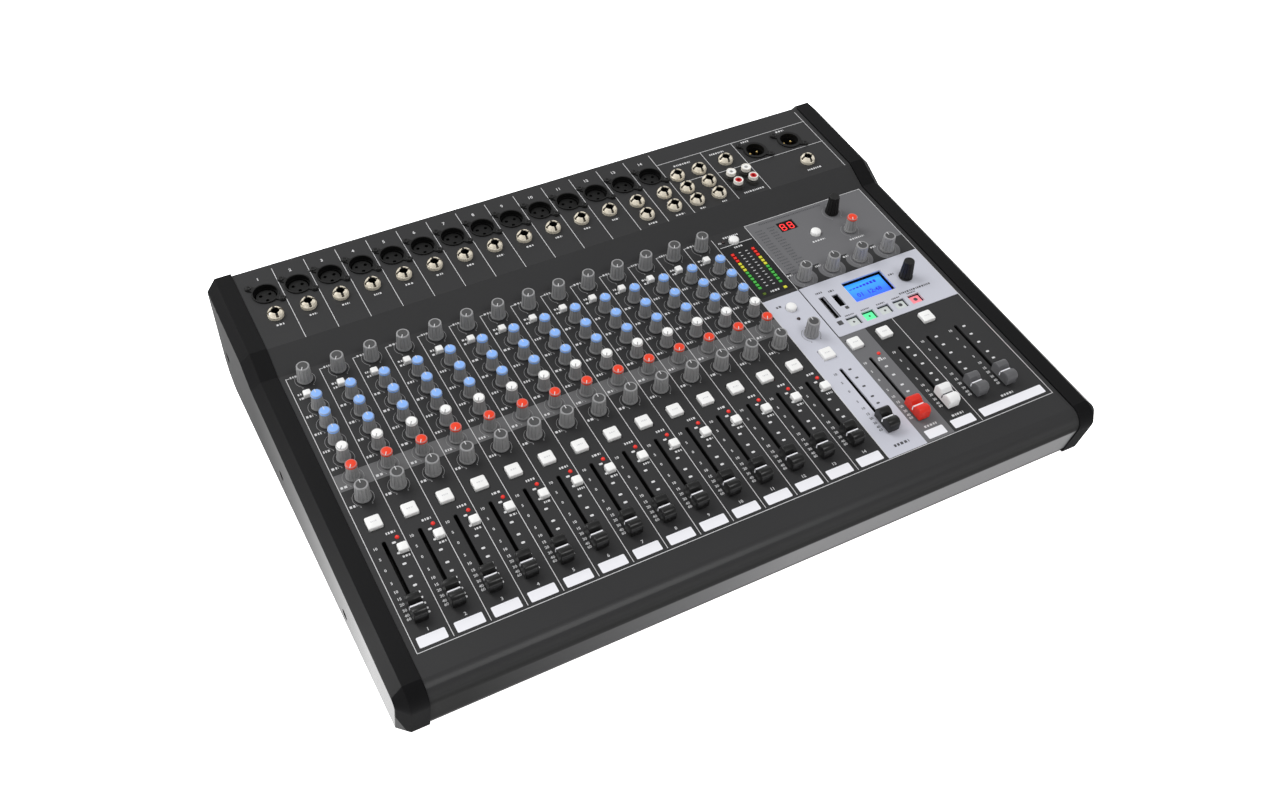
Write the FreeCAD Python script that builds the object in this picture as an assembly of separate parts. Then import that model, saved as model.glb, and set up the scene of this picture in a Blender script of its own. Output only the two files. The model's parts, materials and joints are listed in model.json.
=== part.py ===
"""Desktop mixing console: fourteen input strips, an effects and media player section, and five master faders.

Millimetres, +X to the right, +Y to the back, +Z up, origin at the bottom centre of the whole object.
The top of the case is tilted about X. Everything mounted in it is drawn in a panel frame of its own:
x across, v up the slope from the front edge of the printed area, h out of the panel. place() tilts it.
"""
import FreeCAD, Part
import math
import os

os.makedirs("parts", exist_ok=True)

V = FreeCAD.Vector

# ---- driving dimensions -------------------------------------------------------------------------
PITCH = 26.0            # one input strip
CHANNELS = 14
MONO_CHANNELS = 12      # the last two strips are stereo, with two jacks each
TILT = 6.2              # slope of the control surface, degrees

CASE_W = 565.0
CHEEK_T = 21.0
CHEEK_GAP = 0.3
CHEEK_RISE = 1.0        # the cheeks stand this much proud of the sheet
CHEEK_CHAMFER = 8.0
SHEET_T = 1.5
PRINT_W = 514.0         # width of the printed control area

FRONT_V = -18.0         # where the control surface starts to roll over
FOLD_V = 262.5          # top of the control surface
REAR_V = 285.0          # start of the connector field
TOP_V = 372.5           # rear edge of the sheet
REAR_H = 9.3            # the connector field lies this much above the control surface

BACK_Y = 377.0          # back of the cheeks, measured from the front line of the printed area
BASE_Z = -48.0
FOOT_DROP = 3.0
NOSE_R = 12.0           # the rolled front edge, and how far the front face below it leans back
NOSE_LEAN = math.radians(16.5)
SKIRT_GAP = 5.0         # the front face ends this far above the cheeks' base
HEEL_R = 30.0           # round at the cheeks' rear bottom corner

SLOPE = math.radians(TILT)
CHEEK_NOSE_R = NOSE_R + CHEEK_RISE
ROLL_PARTS = 3          # the rolled edge is drawn as this many abutting sections
FRONT_Y = FRONT_V * math.cos(SLOPE) - CHEEK_RISE * math.sin(SLOPE) - CHEEK_NOSE_R * (1 - math.sin(SLOPE))
ORIGIN_Y = -(FRONT_Y + BACK_Y) / 2
ORIGIN_Z = FOOT_DROP - BASE_Z

LEFT = -PRINT_W / 2                 # x of the printed area's left line
SHEET_X = CASE_W / 2 - CHEEK_T - CHEEK_GAP
UNDER = -SHEET_T

# rows of the input strips, as v on the control surface
FADER_V = 29.4
MUTE_V = 107.4
PEAK_V = 90.0
LISTEN_V = 79.6
FILTER_V = 237.8
KNOB_V = {"pan": 131.3, "fx": 151.3, "aux": 169.7, "low": 187.0, "mid": 205.0, "high": 223.2, "gain": 252.7}

# places in a strip, from its centre line
FADER_DX = -1.3
LISTEN_DX = 8.9
PEAK_DX = 8.6
FILTER_DX = -3.4

# fader
FADER_DOWN = 2.4
FADER_UP = 57.6
LEVER_T = 1.2
LEVER_L = 6.0
SLOT_W = 3.0
CAP_W = 9.6
CAP_FOOT = 2.0
CAP_PROFILE = [(9.5, CAP_FOOT), (9.5, 8.5), (6.5, 11.4), (2.8, 10.6), (1.0, 8.0)]   # half of it, (v, h)

# knobs
KNOB_FOOT = 0.8
KNOB_COLLAR = 1.4       # height of the round collar below the ribs
RIBS = 12
GROOVE = 0.9            # depth of the grooves between the ribs, as a share of the radius
GREY_KNOB = {"collar": 5.9, "low": 5.6, "high": 5.0, "cap": 4.9, "cap_h": 0.8, "top": 15.0}
COLOUR_KNOB = {"collar": 5.2, "low": 4.8, "high": 3.9, "cap": 4.2, "cap_h": 1.8, "top": 15.0}
TALL_KNOB = {"collar": 5.8, "low": 5.5, "high": 4.4, "cap": 4.3, "cap_h": 0.8, "top": 18.0}
COLOURED = ("high", "mid", "low", "aux", "fx")
SHAFT_R = 3.0
SHAFT_HOLE_R = 3.6

# buttons
SQUARE = 10.6
SMALL = 7.0
FILTER = 5.6
ROUND_R = 4.4
WINDOW_W = 11.0
WINDOW_L = 9.6
KEY_MARGIN = 1.4
BUTTON_GAP = 0.35
BUTTON_TOP = 2.6

# layers below the sheet
POT_TOP = -2.6
BOARD_TOP = -11.0
BOARD_T = 1.6
SWITCH_TOP = -6.2
PLAYER_BOARD_TOP = -20.0
JACK_DEPTH = 26.0

# connectors, as s up the connector field
XLR_S = 57.0
XLR_R = 10.6
XLR_BARREL_R = 10.2
XLR_DEPTH = 22.0
XLR_BORE_R = 9.6        # the mouth of an input socket, down to the face of its insert
XLR_GROOVE_R = 9.0      # outer wall of the groove around the insert
XLR_INSERT_R = 7.6
XLR_RECESS = 3.0
XLR_EAR = 14.5
OUTPUT_BORE_R = 8.1     # the mouth of an output socket, and the narrower chamber with the pins below it
OUTPUT_MOUTH = 2.8
OUTPUT_CHAMBER_R = 7.6
JACK_S = 31.7
LOWER_JACK_S = 13.8
JACK_BORE_R = 3.2
BUSH_R = 4.5
BUSH_HOLE_R = 4.7
BUSH_TOP = 4.7
NUT_R = 6.3
NUT_H = 5.6
NUT_LIP_R = 3.4
NUT_SLOT = 2.0
RCA_R = 4.15
RCA_H = 7.6

# master section, x from the printed area's left line
STRIP_X = CHANNELS * PITCH                  # start of the master section
SILVER_X1 = STRIP_X + 34.6
METER_X = (371.3, 390.8)
METER_V = 192.4
METER_STEP = 3.9
METER_COUNT = 12
METER_POWER_V = 185.1
METER_BAR = (2.6, 2.4)
SEGMENT = (431.6, 247.5, 16.0, 11.5)        # x, v, width, height of the two-digit display
FX_KNOB = (475.3, 245.7)
FX_LEVEL = (476.8, 220.2)
RETURN_KNOB = (380.6, 130.8)
PLAYER_KNOB = (486.2, 152.9)
SEND_KNOBS_X = (410.0, 437.2, 464.4, 491.6)
SEND_KNOBS_V = 187.3
PHANTOM_BUTTON = (380.6, 249.6)
FX_BUTTON = (448.5, 229.3)
MEDIA_BUTTON = (381.7, 162.0)
MEDIA_LED = (380.9, 149.5)
PHANTOM_LED = (371.8, 251.7)
FX_LED = (417.0, 91.0)
PLAYER = (398.9, 118.7, 514.0, 177.5)       # x0, v0, x1, v1 of the media player's plate
PLAYER_CORNER_R = 1.5
LCD = (433.6, 145.4, 471.6, 168.8)
CARD = (410.3, 149.7, 3.6, 25.2)            # x, v, width, length of the memory card slot
USB = (421.6, 153.6, 5.8, 13.4)
PLAYER_KEYS_X = (419.9, 434.8, 449.7, 464.6, 479.5)
PLAYER_KEYS_V = 129.0
MASTERS = {"return": 380.9, "fx": 408.2, "aux": 435.2, "main_left": 462.3, "main_right": 489.3}
MASTER_SQUARES_X = (379.9, 405.9, 433.5, 474.2)

AUX_JACKS_X = (372.3, 393.6)
AUX_JACKS_S = (47.0, 29.7, 12.5)
SINGLE_JACK = (421.0, 48.6)
PHONES_JACK = (486.7, 19.0)
RCA_X = (413.2, 428.0)
RCA_S = (26.8, 14.6)
OUTPUTS_X = (452.1, 487.2)
OUTPUTS_S = 50.0


# ---- helpers ------------------------------------------------------------------------------------
def to_case(v, h):
    """A point of the panel frame as (y, z) from the front line of the printed area."""
    y = v * math.cos(SLOPE) - h * math.sin(SLOPE)
    z = v * math.sin(SLOPE) + h * math.cos(SLOPE)
    return y, z


def place(shape):
    """Panel frame to object frame."""
    tilt = FreeCAD.Rotation(V(1, 0, 0), TILT)
    moved = shape.copy()
    moved.Placement = FreeCAD.Placement(V(0, ORIGIN_Y, ORIGIN_Z), tilt).multiply(shape.Placement)
    return moved


def save(name, shapes):
    Part.makeCompound(shapes).exportStep(f"parts/{name}.step")


def save_tilted(name, shapes):
    save(name, [place(shape) for shape in shapes])


def block(x, v, width, length, h0, h1):
    """A box centred on (x, v) in the panel frame."""
    return Part.makeBox(width, length, h1 - h0, V(x - width / 2, v - length / 2, h0))


def disc(x, v, radius, h0, h1):
    return Part.makeCylinder(radius, h1 - h0, V(x, v, h0))


def ring(x, v, outer, inner, h0, h1):
    return disc(x, v, outer, h0, h1).cut(disc(x, v, inner, h0, h1))


def turned(x, v, outline):
    """A solid of revolution about the panel normal at (x, v), from (radius, h) points."""
    points = [V(x + r, v, h) for r, h in outline]
    face = Part.Face(Part.makePolygon(points + points[:1]))
    return face.revolve(V(x, v, 0), V(0, 0, 1), 360)


def chamfer_top(shape, size):
    """Chamfer the edges that lie in the top face."""
    top = shape.BoundBox.ZMax - 0.01
    rim = [edge for edge in shape.Edges if edge.BoundBox.ZMin > top]
    return shape.makeChamfer(size, rim)


def round_hole(x, v, radius):
    return Part.Wire(Part.makeCircle(radius, V(x, v, 0)))


def square_hole(x, v, width, length):
    x0, x1, v0, v1 = x - width / 2, x + width / 2, v - length / 2, v + length / 2
    return Part.makePolygon([V(x0, v0, 0), V(x1, v0, 0), V(x1, v1, 0), V(x0, v1, 0), V(x0, v0, 0)])


def slot_hole(x, v0, v1, width):
    """A slot along v with round ends."""
    r = width / 2
    edges = [
        Part.LineSegment(V(x - r, v0 + r, 0), V(x - r, v1 - r, 0)).toShape(),
        Part.Arc(V(x - r, v1 - r, 0), V(x, v1, 0), V(x + r, v1 - r, 0)).toShape(),
        Part.LineSegment(V(x + r, v1 - r, 0), V(x + r, v0 + r, 0)).toShape(),
        Part.Arc(V(x + r, v0 + r, 0), V(x, v0, 0), V(x - r, v0 + r, 0)).toShape(),
    ]
    return Part.Wire(edges)


def pierced(outline, holes, h_top, thickness=SHEET_T):
    """A flat sheet with its top at h_top."""
    face = Part.makeFace([outline] + holes, "Part::FaceMakerBullseye")
    sheet = face.extrude(V(0, 0, -thickness))
    sheet.translate(V(0, 0, h_top))
    return sheet.Solids[0]


def sheet(x0, x1, v0, v1, holes, h_top=0.0):
    outline = square_hole((x0 + x1) / 2, (v0 + v1) / 2, x1 - x0, v1 - v0)
    return pierced(outline, holes, h_top)


def strip_x(channel):
    """Centre line of an input strip, counted from 0."""
    return LEFT + PITCH * (channel + 0.5)


def strips():
    return [strip_x(k) for k in range(CHANNELS)]


# ---- where the controls are ---------------------------------------------------------------------
def fader_places():
    """Name and x of every fader."""
    inputs = [(f"input_{k + 1:02d}", strip_x(k) + FADER_DX) for k in range(CHANNELS)]
    return inputs + [(name, LEFT + x) for name, x in MASTERS.items()]


def knob_places():
    """(x, v) of every rotary control."""
    inputs = [(x, v) for x in strips() for v in KNOB_V.values()]
    sends = [(LEFT + x, SEND_KNOBS_V) for x in SEND_KNOBS_X]
    singles = [(LEFT + x, v) for x, v in (FX_KNOB, FX_LEVEL, RETURN_KNOB, PLAYER_KNOB)]
    return inputs + sends + singles


def square_places():
    inputs = [(x + FADER_DX, MUTE_V) for x in strips()]
    return inputs + [(LEFT + x, MUTE_V) for x in MASTER_SQUARES_X]


def listen_places():
    return [(x + LISTEN_DX, LISTEN_V) for x in strips()]


def filter_places():
    return [(x + FILTER_DX, FILTER_V) for x in strips()]


def round_places():
    return [(LEFT + x, v) for x, v in (PHANTOM_BUTTON, FX_BUTTON, MEDIA_BUTTON)]


def key_places():
    return [(LEFT + x, PLAYER_KEYS_V) for x in PLAYER_KEYS_X]


def led_places():
    peaks = [(x + PEAK_DX, PEAK_V) for x in strips()]
    return peaks + [(LEFT + x, v) for x, v in (PHANTOM_LED, MEDIA_LED, FX_LED)]


def meter_places():
    rows = [METER_V + METER_STEP * i for i in range(METER_COUNT)] + [METER_POWER_V]
    return [(LEFT + x, v) for x in METER_X for v in rows]


def input_sockets():
    """(x, s) of the XLR inputs."""
    return [(x, XLR_S) for x in strips()]


def output_sockets():
    return [(LEFT + x, OUTPUTS_S) for x in OUTPUTS_X]


def jack_places():
    """(x, s) of every 6.35 mm jack."""
    upper = [(x, JACK_S) for x in strips()]
    lower = [(x, LOWER_JACK_S) for x in strips()[MONO_CHANNELS:]]
    auxes = [(LEFT + x, s) for x in AUX_JACKS_X for s in AUX_JACKS_S]
    return upper + lower + auxes + [(LEFT + x, s) for x, s in (SINGLE_JACK, PHONES_JACK)]


def rca_places(s):
    return [(LEFT + x, s) for x in RCA_X]


def ear_places(x, s):
    """The two screw ears of an XLR flange, upper left and lower right."""
    reach = XLR_EAR * math.sqrt(0.5)
    return [(x - reach, s + reach), (x + reach, s - reach)]


# ---- the folded top sheet -----------------------------------------------------------------------
def slot_span():
    low = FADER_V - FADER_DOWN - LEVER_L / 2 - 0.5
    high = FADER_V + FADER_UP + LEVER_L / 2 + 0.5
    return low, high


def control_holes():
    """Every opening of the control surface, as (x, v, wire)."""
    low, high = slot_span()
    holes = [(x, FADER_V, slot_hole(x, low, high, SLOT_W)) for _, x in fader_places()]
    holes += [(x, v, round_hole(x, v, SHAFT_HOLE_R)) for x, v in knob_places()]
    for places, size in ((square_places(), SQUARE), (listen_places(), SMALL), (filter_places(), FILTER)):
        side = size + 2 * BUTTON_GAP
        holes += [(x, v, square_hole(x, v, side, side)) for x, v in places]
    holes += [(x, v, round_hole(x, v, ROUND_R + BUTTON_GAP)) for x, v in round_places()]
    holes += [(x, v, round_hole(x, v, 1.6)) for x, v in led_places()]
    for x in METER_X:
        length = METER_STEP * (METER_COUNT - 1) + METER_BAR[1] + 0.8
        middle = METER_V + METER_STEP * (METER_COUNT - 1) / 2
        holes.append((LEFT + x, middle, square_hole(LEFT + x, middle, METER_BAR[0] + 0.8, length)))
        power = square_hole(LEFT + x, METER_POWER_V, METER_BAR[0] + 0.8, METER_BAR[1] + 0.8)
        holes.append((LEFT + x, METER_POWER_V, power))
    x, v, width, length = SEGMENT
    holes.append((LEFT + x, v, square_hole(LEFT + x, v, width, length)))
    return holes


def control_surface():
    """The flat control surface in five abutting sections around the player's plate."""
    split = LEFT + SILVER_X1
    channels_end = LEFT + STRIP_X
    plate_right = LEFT + PLAYER[2] + 0.3
    low, high = PLAYER[1] - 0.3, PLAYER[3] + 0.3
    sections = [
        (-SHEET_X, channels_end, FRONT_V, FOLD_V),
        (channels_end, split, FRONT_V, FOLD_V),
        (split, SHEET_X, high, FOLD_V),
        (split, SHEET_X, FRONT_V, low),
        (plate_right, SHEET_X, low, high),
    ]
    holes = control_holes()
    flat = []
    for x0, x1, v0, v1 in sections:
        inside = [wire for x, v, wire in holes if x0 < x < x1 and v0 < v < v1]
        flat.append(sheet(x0, x1, v0, v1, inside))
    return flat


def nose(inset):
    """The rolled front edge as case (y, z) points: top tangent, mid arc, end of arc, bottom."""
    y0, z0 = to_case(FRONT_V, -inset)
    radius = NOSE_R - inset
    cy = y0 + radius * math.sin(SLOPE)
    cz = z0 - radius * math.cos(SLOPE)
    mid = (math.pi / 2 + SLOPE + math.pi + NOSE_LEAN) / 2
    mid_point = (cy + radius * math.cos(mid), cz + radius * math.sin(mid))
    end = (cy - radius * math.cos(NOSE_LEAN), cz - radius * math.sin(NOSE_LEAN))
    bottom_z = BASE_Z + SKIRT_GAP
    drop = end[1] - bottom_z
    bottom = (end[0] + drop * math.tan(NOSE_LEAN), bottom_z)
    return (y0, z0), mid_point, end, bottom


def roll_point(radius, angle):
    """A point at this radius from the axis of the rolled edge, on the left end of the sheet."""
    y, z = to_case(FRONT_V, -NOSE_R)
    return V(-SHEET_X, y + radius * math.cos(angle) + ORIGIN_Y, z + radius * math.sin(angle) + ORIGIN_Z)


def roll_section(start, end):
    """A length of the rolled edge between two angles."""
    inner, middle = NOSE_R - SHEET_T, (start + end) / 2
    outside = [roll_point(NOSE_R, angle) for angle in (start, middle, end)]
    inside = [roll_point(inner, angle) for angle in (end, middle, start)]
    edges = [
        Part.Arc(*outside).toShape(),
        Part.LineSegment(outside[2], inside[0]).toShape(),
        Part.Arc(*inside).toShape(),
        Part.LineSegment(inside[2], outside[0]).toShape(),
    ]
    return Part.Face(Part.Wire(edges)).extrude(V(2 * SHEET_X, 0, 0))


def front_roll():
    """The front edge of the sheet, rolled over, and the flat front face below it."""
    start, end = math.pi / 2 + SLOPE, math.pi + NOSE_LEAN
    step = (end - start) / ROLL_PARTS
    sections = [roll_section(start + step * k, start + step * (k + 1)) for k in range(ROLL_PARTS)]
    corners = list(nose(0.0)[2:]) + list(nose(SHEET_T)[:1:-1])
    points = [V(-SHEET_X, y + ORIGIN_Y, z + ORIGIN_Z) for y, z in corners]
    face = Part.Face(Part.makePolygon(points + points[:1]))
    return sections + [face.extrude(V(2 * SHEET_X, 0, 0))]


def step_fold():
    """The short steep fold between the control surface and the connector field."""
    outline = [(FOLD_V, 0.0), (REAR_V, REAR_H), (REAR_V, REAR_H - SHEET_T), (FOLD_V, UNDER)]
    points = [V(-SHEET_X, v, h) for v, h in outline]
    return Part.Face(Part.makePolygon(points + points[:1])).extrude(V(2 * SHEET_X, 0, 0))


def connector_cells():
    """The connector field in abutting cells, each with one socket at most: (x0, x1, s0, s1)."""
    top = TOP_V - REAR_V
    xlr_row, lower_row = 44.0, 22.7
    cells = []
    for k in range(CHANNELS):
        x0 = -SHEET_X if k == 0 else LEFT + PITCH * k
        x1 = LEFT + PITCH * (k + 1)
        rows = (0.0, xlr_row, top) if k < MONO_CHANNELS else (0.0, lower_row, xlr_row, top)
        cells += [(x0, x1, a, b) for a, b in zip(rows, rows[1:])]
    middle = LEFT + (AUX_JACKS_X[0] + AUX_JACKS_X[1]) / 2
    aux_end, rca_end = LEFT + 406.0, LEFT + 437.5
    for x0, x1 in ((LEFT + STRIP_X, middle), (middle, aux_end)):
        cells += [(x0, x1, a, b) for a, b in ((0.0, 21.1), (21.1, 38.3), (38.3, top))]
    rca_middle, rca_row, rca_top = LEFT + (RCA_X[0] + RCA_X[1]) / 2, (RCA_S[0] + RCA_S[1]) / 2, 37.0
    for x0, x1 in ((aux_end, rca_middle), (rca_middle, rca_end)):
        cells += [(x0, x1, 0.0, rca_row), (x0, x1, rca_row, rca_top)]
    outputs_middle, phones_top = LEFT + (OUTPUTS_X[0] + OUTPUTS_X[1]) / 2, 33.0
    cells += [(aux_end, rca_end, rca_top, top), (rca_end, SHEET_X, 0.0, phones_top)]
    cells += [(rca_end, outputs_middle, phones_top, top), (outputs_middle, SHEET_X, phones_top, top)]
    return cells


def connector_holes():
    """Every opening of the connector field, as (x, s, wire)."""
    holes = [(x, s, round_hole(x, REAR_V + s, BUSH_HOLE_R)) for x, s in jack_places()]
    for x, s in input_sockets() + output_sockets():
        holes.append((x, s, round_hole(x, REAR_V + s, XLR_BARREL_R + 0.2)))
        holes += [(ex, es, round_hole(ex, REAR_V + es, 1.3)) for ex, es in ear_places(x, s)]
    holes += [(x, s, round_hole(x, REAR_V + s, 2.6)) for row in RCA_S for x, s in rca_places(row)]
    return holes


def connector_field():
    holes = connector_holes()
    tiles = []
    for x0, x1, s0, s1 in connector_cells():
        inside = [wire for x, s, wire in holes if x0 < x < x1 and s0 < s < s1]
        tiles.append(sheet(x0, x1, REAR_V + s0, REAR_V + s1, inside, REAR_H))
    return tiles


def top_panel():
    tilted = control_surface() + [step_fold()] + connector_field()
    save("top_panel", [place(shape) for shape in tilted] + front_roll())


def rounded_plate(x0, v0, x1, v1, radius):
    """Outline of the player's plate, round at its lower left corner."""
    turn = radius * (1 - math.sqrt(0.5))
    edges = [
        Part.LineSegment(V(x0, v1, 0), V(x0, v0 + radius, 0)).toShape(),
        Part.Arc(V(x0, v0 + radius, 0), V(x0 + turn, v0 + turn, 0), V(x0 + radius, v0, 0)).toShape(),
        Part.LineSegment(V(x0 + radius, v0, 0), V(x1, v0, 0)).toShape(),
        Part.LineSegment(V(x1, v0, 0), V(x1, v1, 0)).toShape(),
        Part.LineSegment(V(x1, v1, 0), V(x0, v1, 0)).toShape(),
    ]
    return Part.Wire(edges)


def player_panel():
    x0, v0, x1, v1 = PLAYER
    outline = rounded_plate(LEFT + x0, v0, LEFT + x1, v1, PLAYER_CORNER_R)
    lx0, lv0, lx1, lv1 = LCD
    holes = [square_hole(LEFT + (lx0 + lx1) / 2, (lv0 + lv1) / 2, lx1 - lx0, lv1 - lv0)]
    for x, v, width, length in (CARD, USB):
        holes.append(square_hole(LEFT + x, v, width, length))
    holes += [square_hole(x, v, WINDOW_W, WINDOW_L) for x, v in key_places()]
    holes.append(round_hole(LEFT + PLAYER_KNOB[0], PLAYER_KNOB[1], SHAFT_HOLE_R))
    save_tilted("player_panel", [pierced(outline, holes, 0.0)])


# ---- case ---------------------------------------------------------------------------------------
WALL_Y = 367.6                          # outer face of the rear wall
FLOOR_Z = BASE_Z + 0.8
BEVEL = 22.0                            # the floor turns up to the rear wall at 45 degrees
FEET = [(x, y) for x in (-228.0, 228.0) for y in (18.0, 322.0)]
POWER_Z = -8.0                          # centre of the mains module in the rear wall
POWER_X = (164.4, 212.8)
POWER_H = 23.4
INLET_X = 196.6
ROCKER_X = 172.0
ROCKER_H = 16.2
ROCKER_SWING = 11.0
ROCKER_CLEAR = 1.4      # above and below it in its pocket
ROCKER_W = 11.2
ROCKER_PIN_R = 1.2
ROCKER_PIN_DEPTH = 3.0  # the pivot lies this far inside the rear wall's outer face
PIN_FIT = 0.05


def chassis():
    """The lower sheet: a floor, a sloping heel and a rear wall."""
    y0 = nose(SHEET_T)[3][0] + 0.3
    heel_y, heel_z = WALL_Y - BEVEL, FLOOR_Z + BEVEL
    flat = SHEET_T * math.tan(math.pi / 8)
    top = to_case(TOP_V, REAR_H - SHEET_T)[1] - 0.6
    floor = [(y0, FLOOR_Z), (heel_y, FLOOR_Z), (heel_y - flat, FLOOR_Z + SHEET_T), (y0, FLOOR_Z + SHEET_T)]
    heel = [floor[1], (WALL_Y, heel_z), (WALL_Y - SHEET_T, heel_z + flat), floor[2]]
    wall = [heel[1], (WALL_Y, top), (WALL_Y - SHEET_T, top), heel[2]]
    solids = []
    for outline in (floor, heel, wall):
        points = [V(-SHEET_X, y + ORIGIN_Y, z + ORIGIN_Z) for y, z in outline]
        solids.append(Part.Face(Part.makePolygon(points + points[:1])).extrude(V(2 * SHEET_X, 0, 0)))
    for x, y in FEET:
        solids[0] = solids[0].cut(Part.makeCylinder(1.7, 10.0, V(x, y + ORIGIN_Y, FLOOR_Z + ORIGIN_Z - 5.0)))
    solids[2] = solids[2].cut(power_box(0.3, WALL_Y - 10.0, WALL_Y + 10.0))
    save("chassis", solids)


def power_box(margin, y0, y1):
    """The mains module's rectangle, grown by margin, between two depths."""
    x0, x1 = POWER_X
    size = (x1 - x0 + 2 * margin, y1 - y0, POWER_H + 2 * margin)
    corner = V(x0 - margin, y0 + ORIGIN_Y, POWER_Z - POWER_H / 2 - margin + ORIGIN_Z)
    return Part.makeBox(*size, corner)


def cheek_outline(inset):
    """The side profile as edges in the plane x = 0. inset draws the chamfered outer rim."""
    rise = CHEEK_RISE - inset
    radius = CHEEK_NOSE_R - inset
    y0, z0 = to_case(FRONT_V, rise)
    cy, cz = y0 + radius * math.sin(SLOPE), z0 - radius * math.cos(SLOPE)
    mid = (math.pi / 2 + SLOPE + math.pi + NOSE_LEAN) / 2
    mid_point = (cy + radius * math.cos(mid), cz + radius * math.sin(mid))
    end = (cy - radius * math.cos(NOSE_LEAN), cz - radius * math.sin(NOSE_LEAN))
    toe = (end[0] + (end[1] - BASE_Z) * math.tan(NOSE_LEAN), BASE_Z)
    back = BACK_Y - inset
    heel_r = HEEL_R - inset
    heel_turn = heel_r * (1 - math.sqrt(0.5))
    heel = [(back - heel_r, BASE_Z), (back - heel_turn, BASE_Z + heel_turn), (back, BASE_Z + heel_r)]
    crown_y, crown_z = to_case(TOP_V + 1.5 - inset * 0.4, REAR_H + rise)
    back_z = crown_z - 7.0 + inset * 0.6
    valley = to_case(FOLD_V + 0.4 * inset, rise)
    ridge = to_case(REAR_V + 0.2 * inset, REAR_H + rise)

    def point(p):
        return V(0, p[0] + ORIGIN_Y, p[1] + ORIGIN_Z)

    return [
        Part.LineSegment(point(toe), point(heel[0])).toShape(),
        Part.Arc(point(heel[0]), point(heel[1]), point(heel[2])).toShape(),
        Part.LineSegment(point(heel[2]), point((back, back_z))).toShape(),
        Part.LineSegment(point((back, back_z)), point((crown_y, crown_z))).toShape(),
        Part.LineSegment(point((crown_y, crown_z)), point(ridge)).toShape(),
        Part.LineSegment(point(ridge), point(valley)).toShape(),
        Part.LineSegment(point(valley), point((y0, z0))).toShape(),
        Part.Arc(point((y0, z0)), point(mid_point), point(end)).toShape(),
        Part.LineSegment(point(end), point(toe)).toShape(),
    ]


SIDE_SCREWS = [(80.0, -35.0), (216.0, -24.0), (350.0, -12.0)]      # case (y, z)


def cheek(side):
    """A side cheek: a slab with a chamfered outer rim. side is -1 on the left and 1 on the right."""
    inner = CASE_W / 2 - CHEEK_T
    shoulder = CASE_W / 2 - CHEEK_CHAMFER
    slab = Part.Face(Part.Wire(cheek_outline(0.0))).extrude(V(shoulder - inner, 0, 0))
    slab.translate(V(inner, 0, 0))
    low, high = Part.Wire(cheek_outline(0.0)), Part.Wire(cheek_outline(CHEEK_CHAMFER))
    low.translate(V(shoulder, 0, 0))
    high.translate(V(CASE_W / 2, 0, 0))
    rim = Part.makeLoft([low, high], True, True)
    body = slab.fuse(rim).removeSplitter()
    for y, z in SIDE_SCREWS:
        start = V(CASE_W / 2 - 3.2, y + ORIGIN_Y, z + ORIGIN_Z)
        body = body.cut(Part.makeCylinder(4.2, 10.0, start, V(1, 0, 0)))
        through = V(inner - 1.0, y + ORIGIN_Y, z + ORIGIN_Z)
        body = body.cut(Part.makeCylinder(2.2, CHEEK_T, through, V(1, 0, 0)))
    body = body.Solids[0]
    return body if side > 0 else body.mirror(V(0, 0, 0), V(1, 0, 0))


def pan_screw(radius, head, length, shank):
    """A pan head screw pointing down -Z with the seat of its head at the origin."""
    screw = chamfer_top(Part.makeCylinder(radius, head), head * 0.35)
    for width, depth in ((radius * 1.2, radius * 0.25), (radius * 0.25, radius * 1.2)):
        screw = screw.cut(block(0, 0, width, depth, head * 0.55, head * 2))
    return screw.fuse(Part.makeCylinder(shank, length, V(0, 0, -length))).Solids[0]


def screws():
    """Cheek screws, foot screws and the screws of the XLR flanges."""
    solids = []
    for side in (-1, 1):
        for y, z in SIDE_SCREWS:
            one = pan_screw(3.8, 2.2, 18.0, 1.9)
            one.rotate(V(0, 0, 0), V(0, 1, 0), 90 * side)
            one.translate(V(side * (CASE_W / 2 - 3.2), y + ORIGIN_Y, z + ORIGIN_Z))
            solids.append(one)
    for x, y in FEET:
        one = pan_screw(3.0, 1.6, 6.0, 1.5)
        one.rotate(V(0, 0, 0), V(1, 0, 0), 180)
        one.translate(V(x, y + ORIGIN_Y, 2.0))
        solids.append(one)
    for x, s in input_sockets() + output_sockets():
        for ex, es in ear_places(x, s):
            one = pan_screw(2.1, 0.9, 2.6, 1.1)
            one.translate(V(ex, REAR_V + es, REAR_H + 1.2))
            solids.append(place(one))
    save("screws", solids)


def rubber_feet():
    solids = []
    for x, y in FEET:
        base = V(x, y + ORIGIN_Y, 0.0)
        height = FLOOR_Z + ORIGIN_Z
        foot = Part.makeCone(8.0, 9.0, height, base)
        foot = foot.cut(Part.makeCylinder(3.4, 2.0, base))
        foot = foot.cut(Part.makeCylinder(1.7, height, base))
        solids.append(foot)
    save("rubber_feet", solids)


# ---- connectors ---------------------------------------------------------------------------------
def xlr_flange(x, v, h0):
    """The front flange of an XLR socket with its two screw ears."""
    plate = disc(x, v, XLR_R, h0, h0 + 1.2)
    for ex, ev in ear_places(x, v):
        plate = plate.fuse(disc(ex, ev, 2.9, h0, h0 + 1.2))
        mid_x, mid_v = (x + ex) / 2, (v + ev) / 2
        web = block(0, 0, 5.0, XLR_EAR, h0, h0 + 1.2)
        web.rotate(V(0, 0, 0), V(0, 0, 1), 45)
        web.translate(V(mid_x, mid_v, 0))
        plate = plate.fuse(web)
        plate = plate.cut(disc(ex, ev, 1.2, h0 - 1, h0 + 2))
    return plate.removeSplitter()


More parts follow.
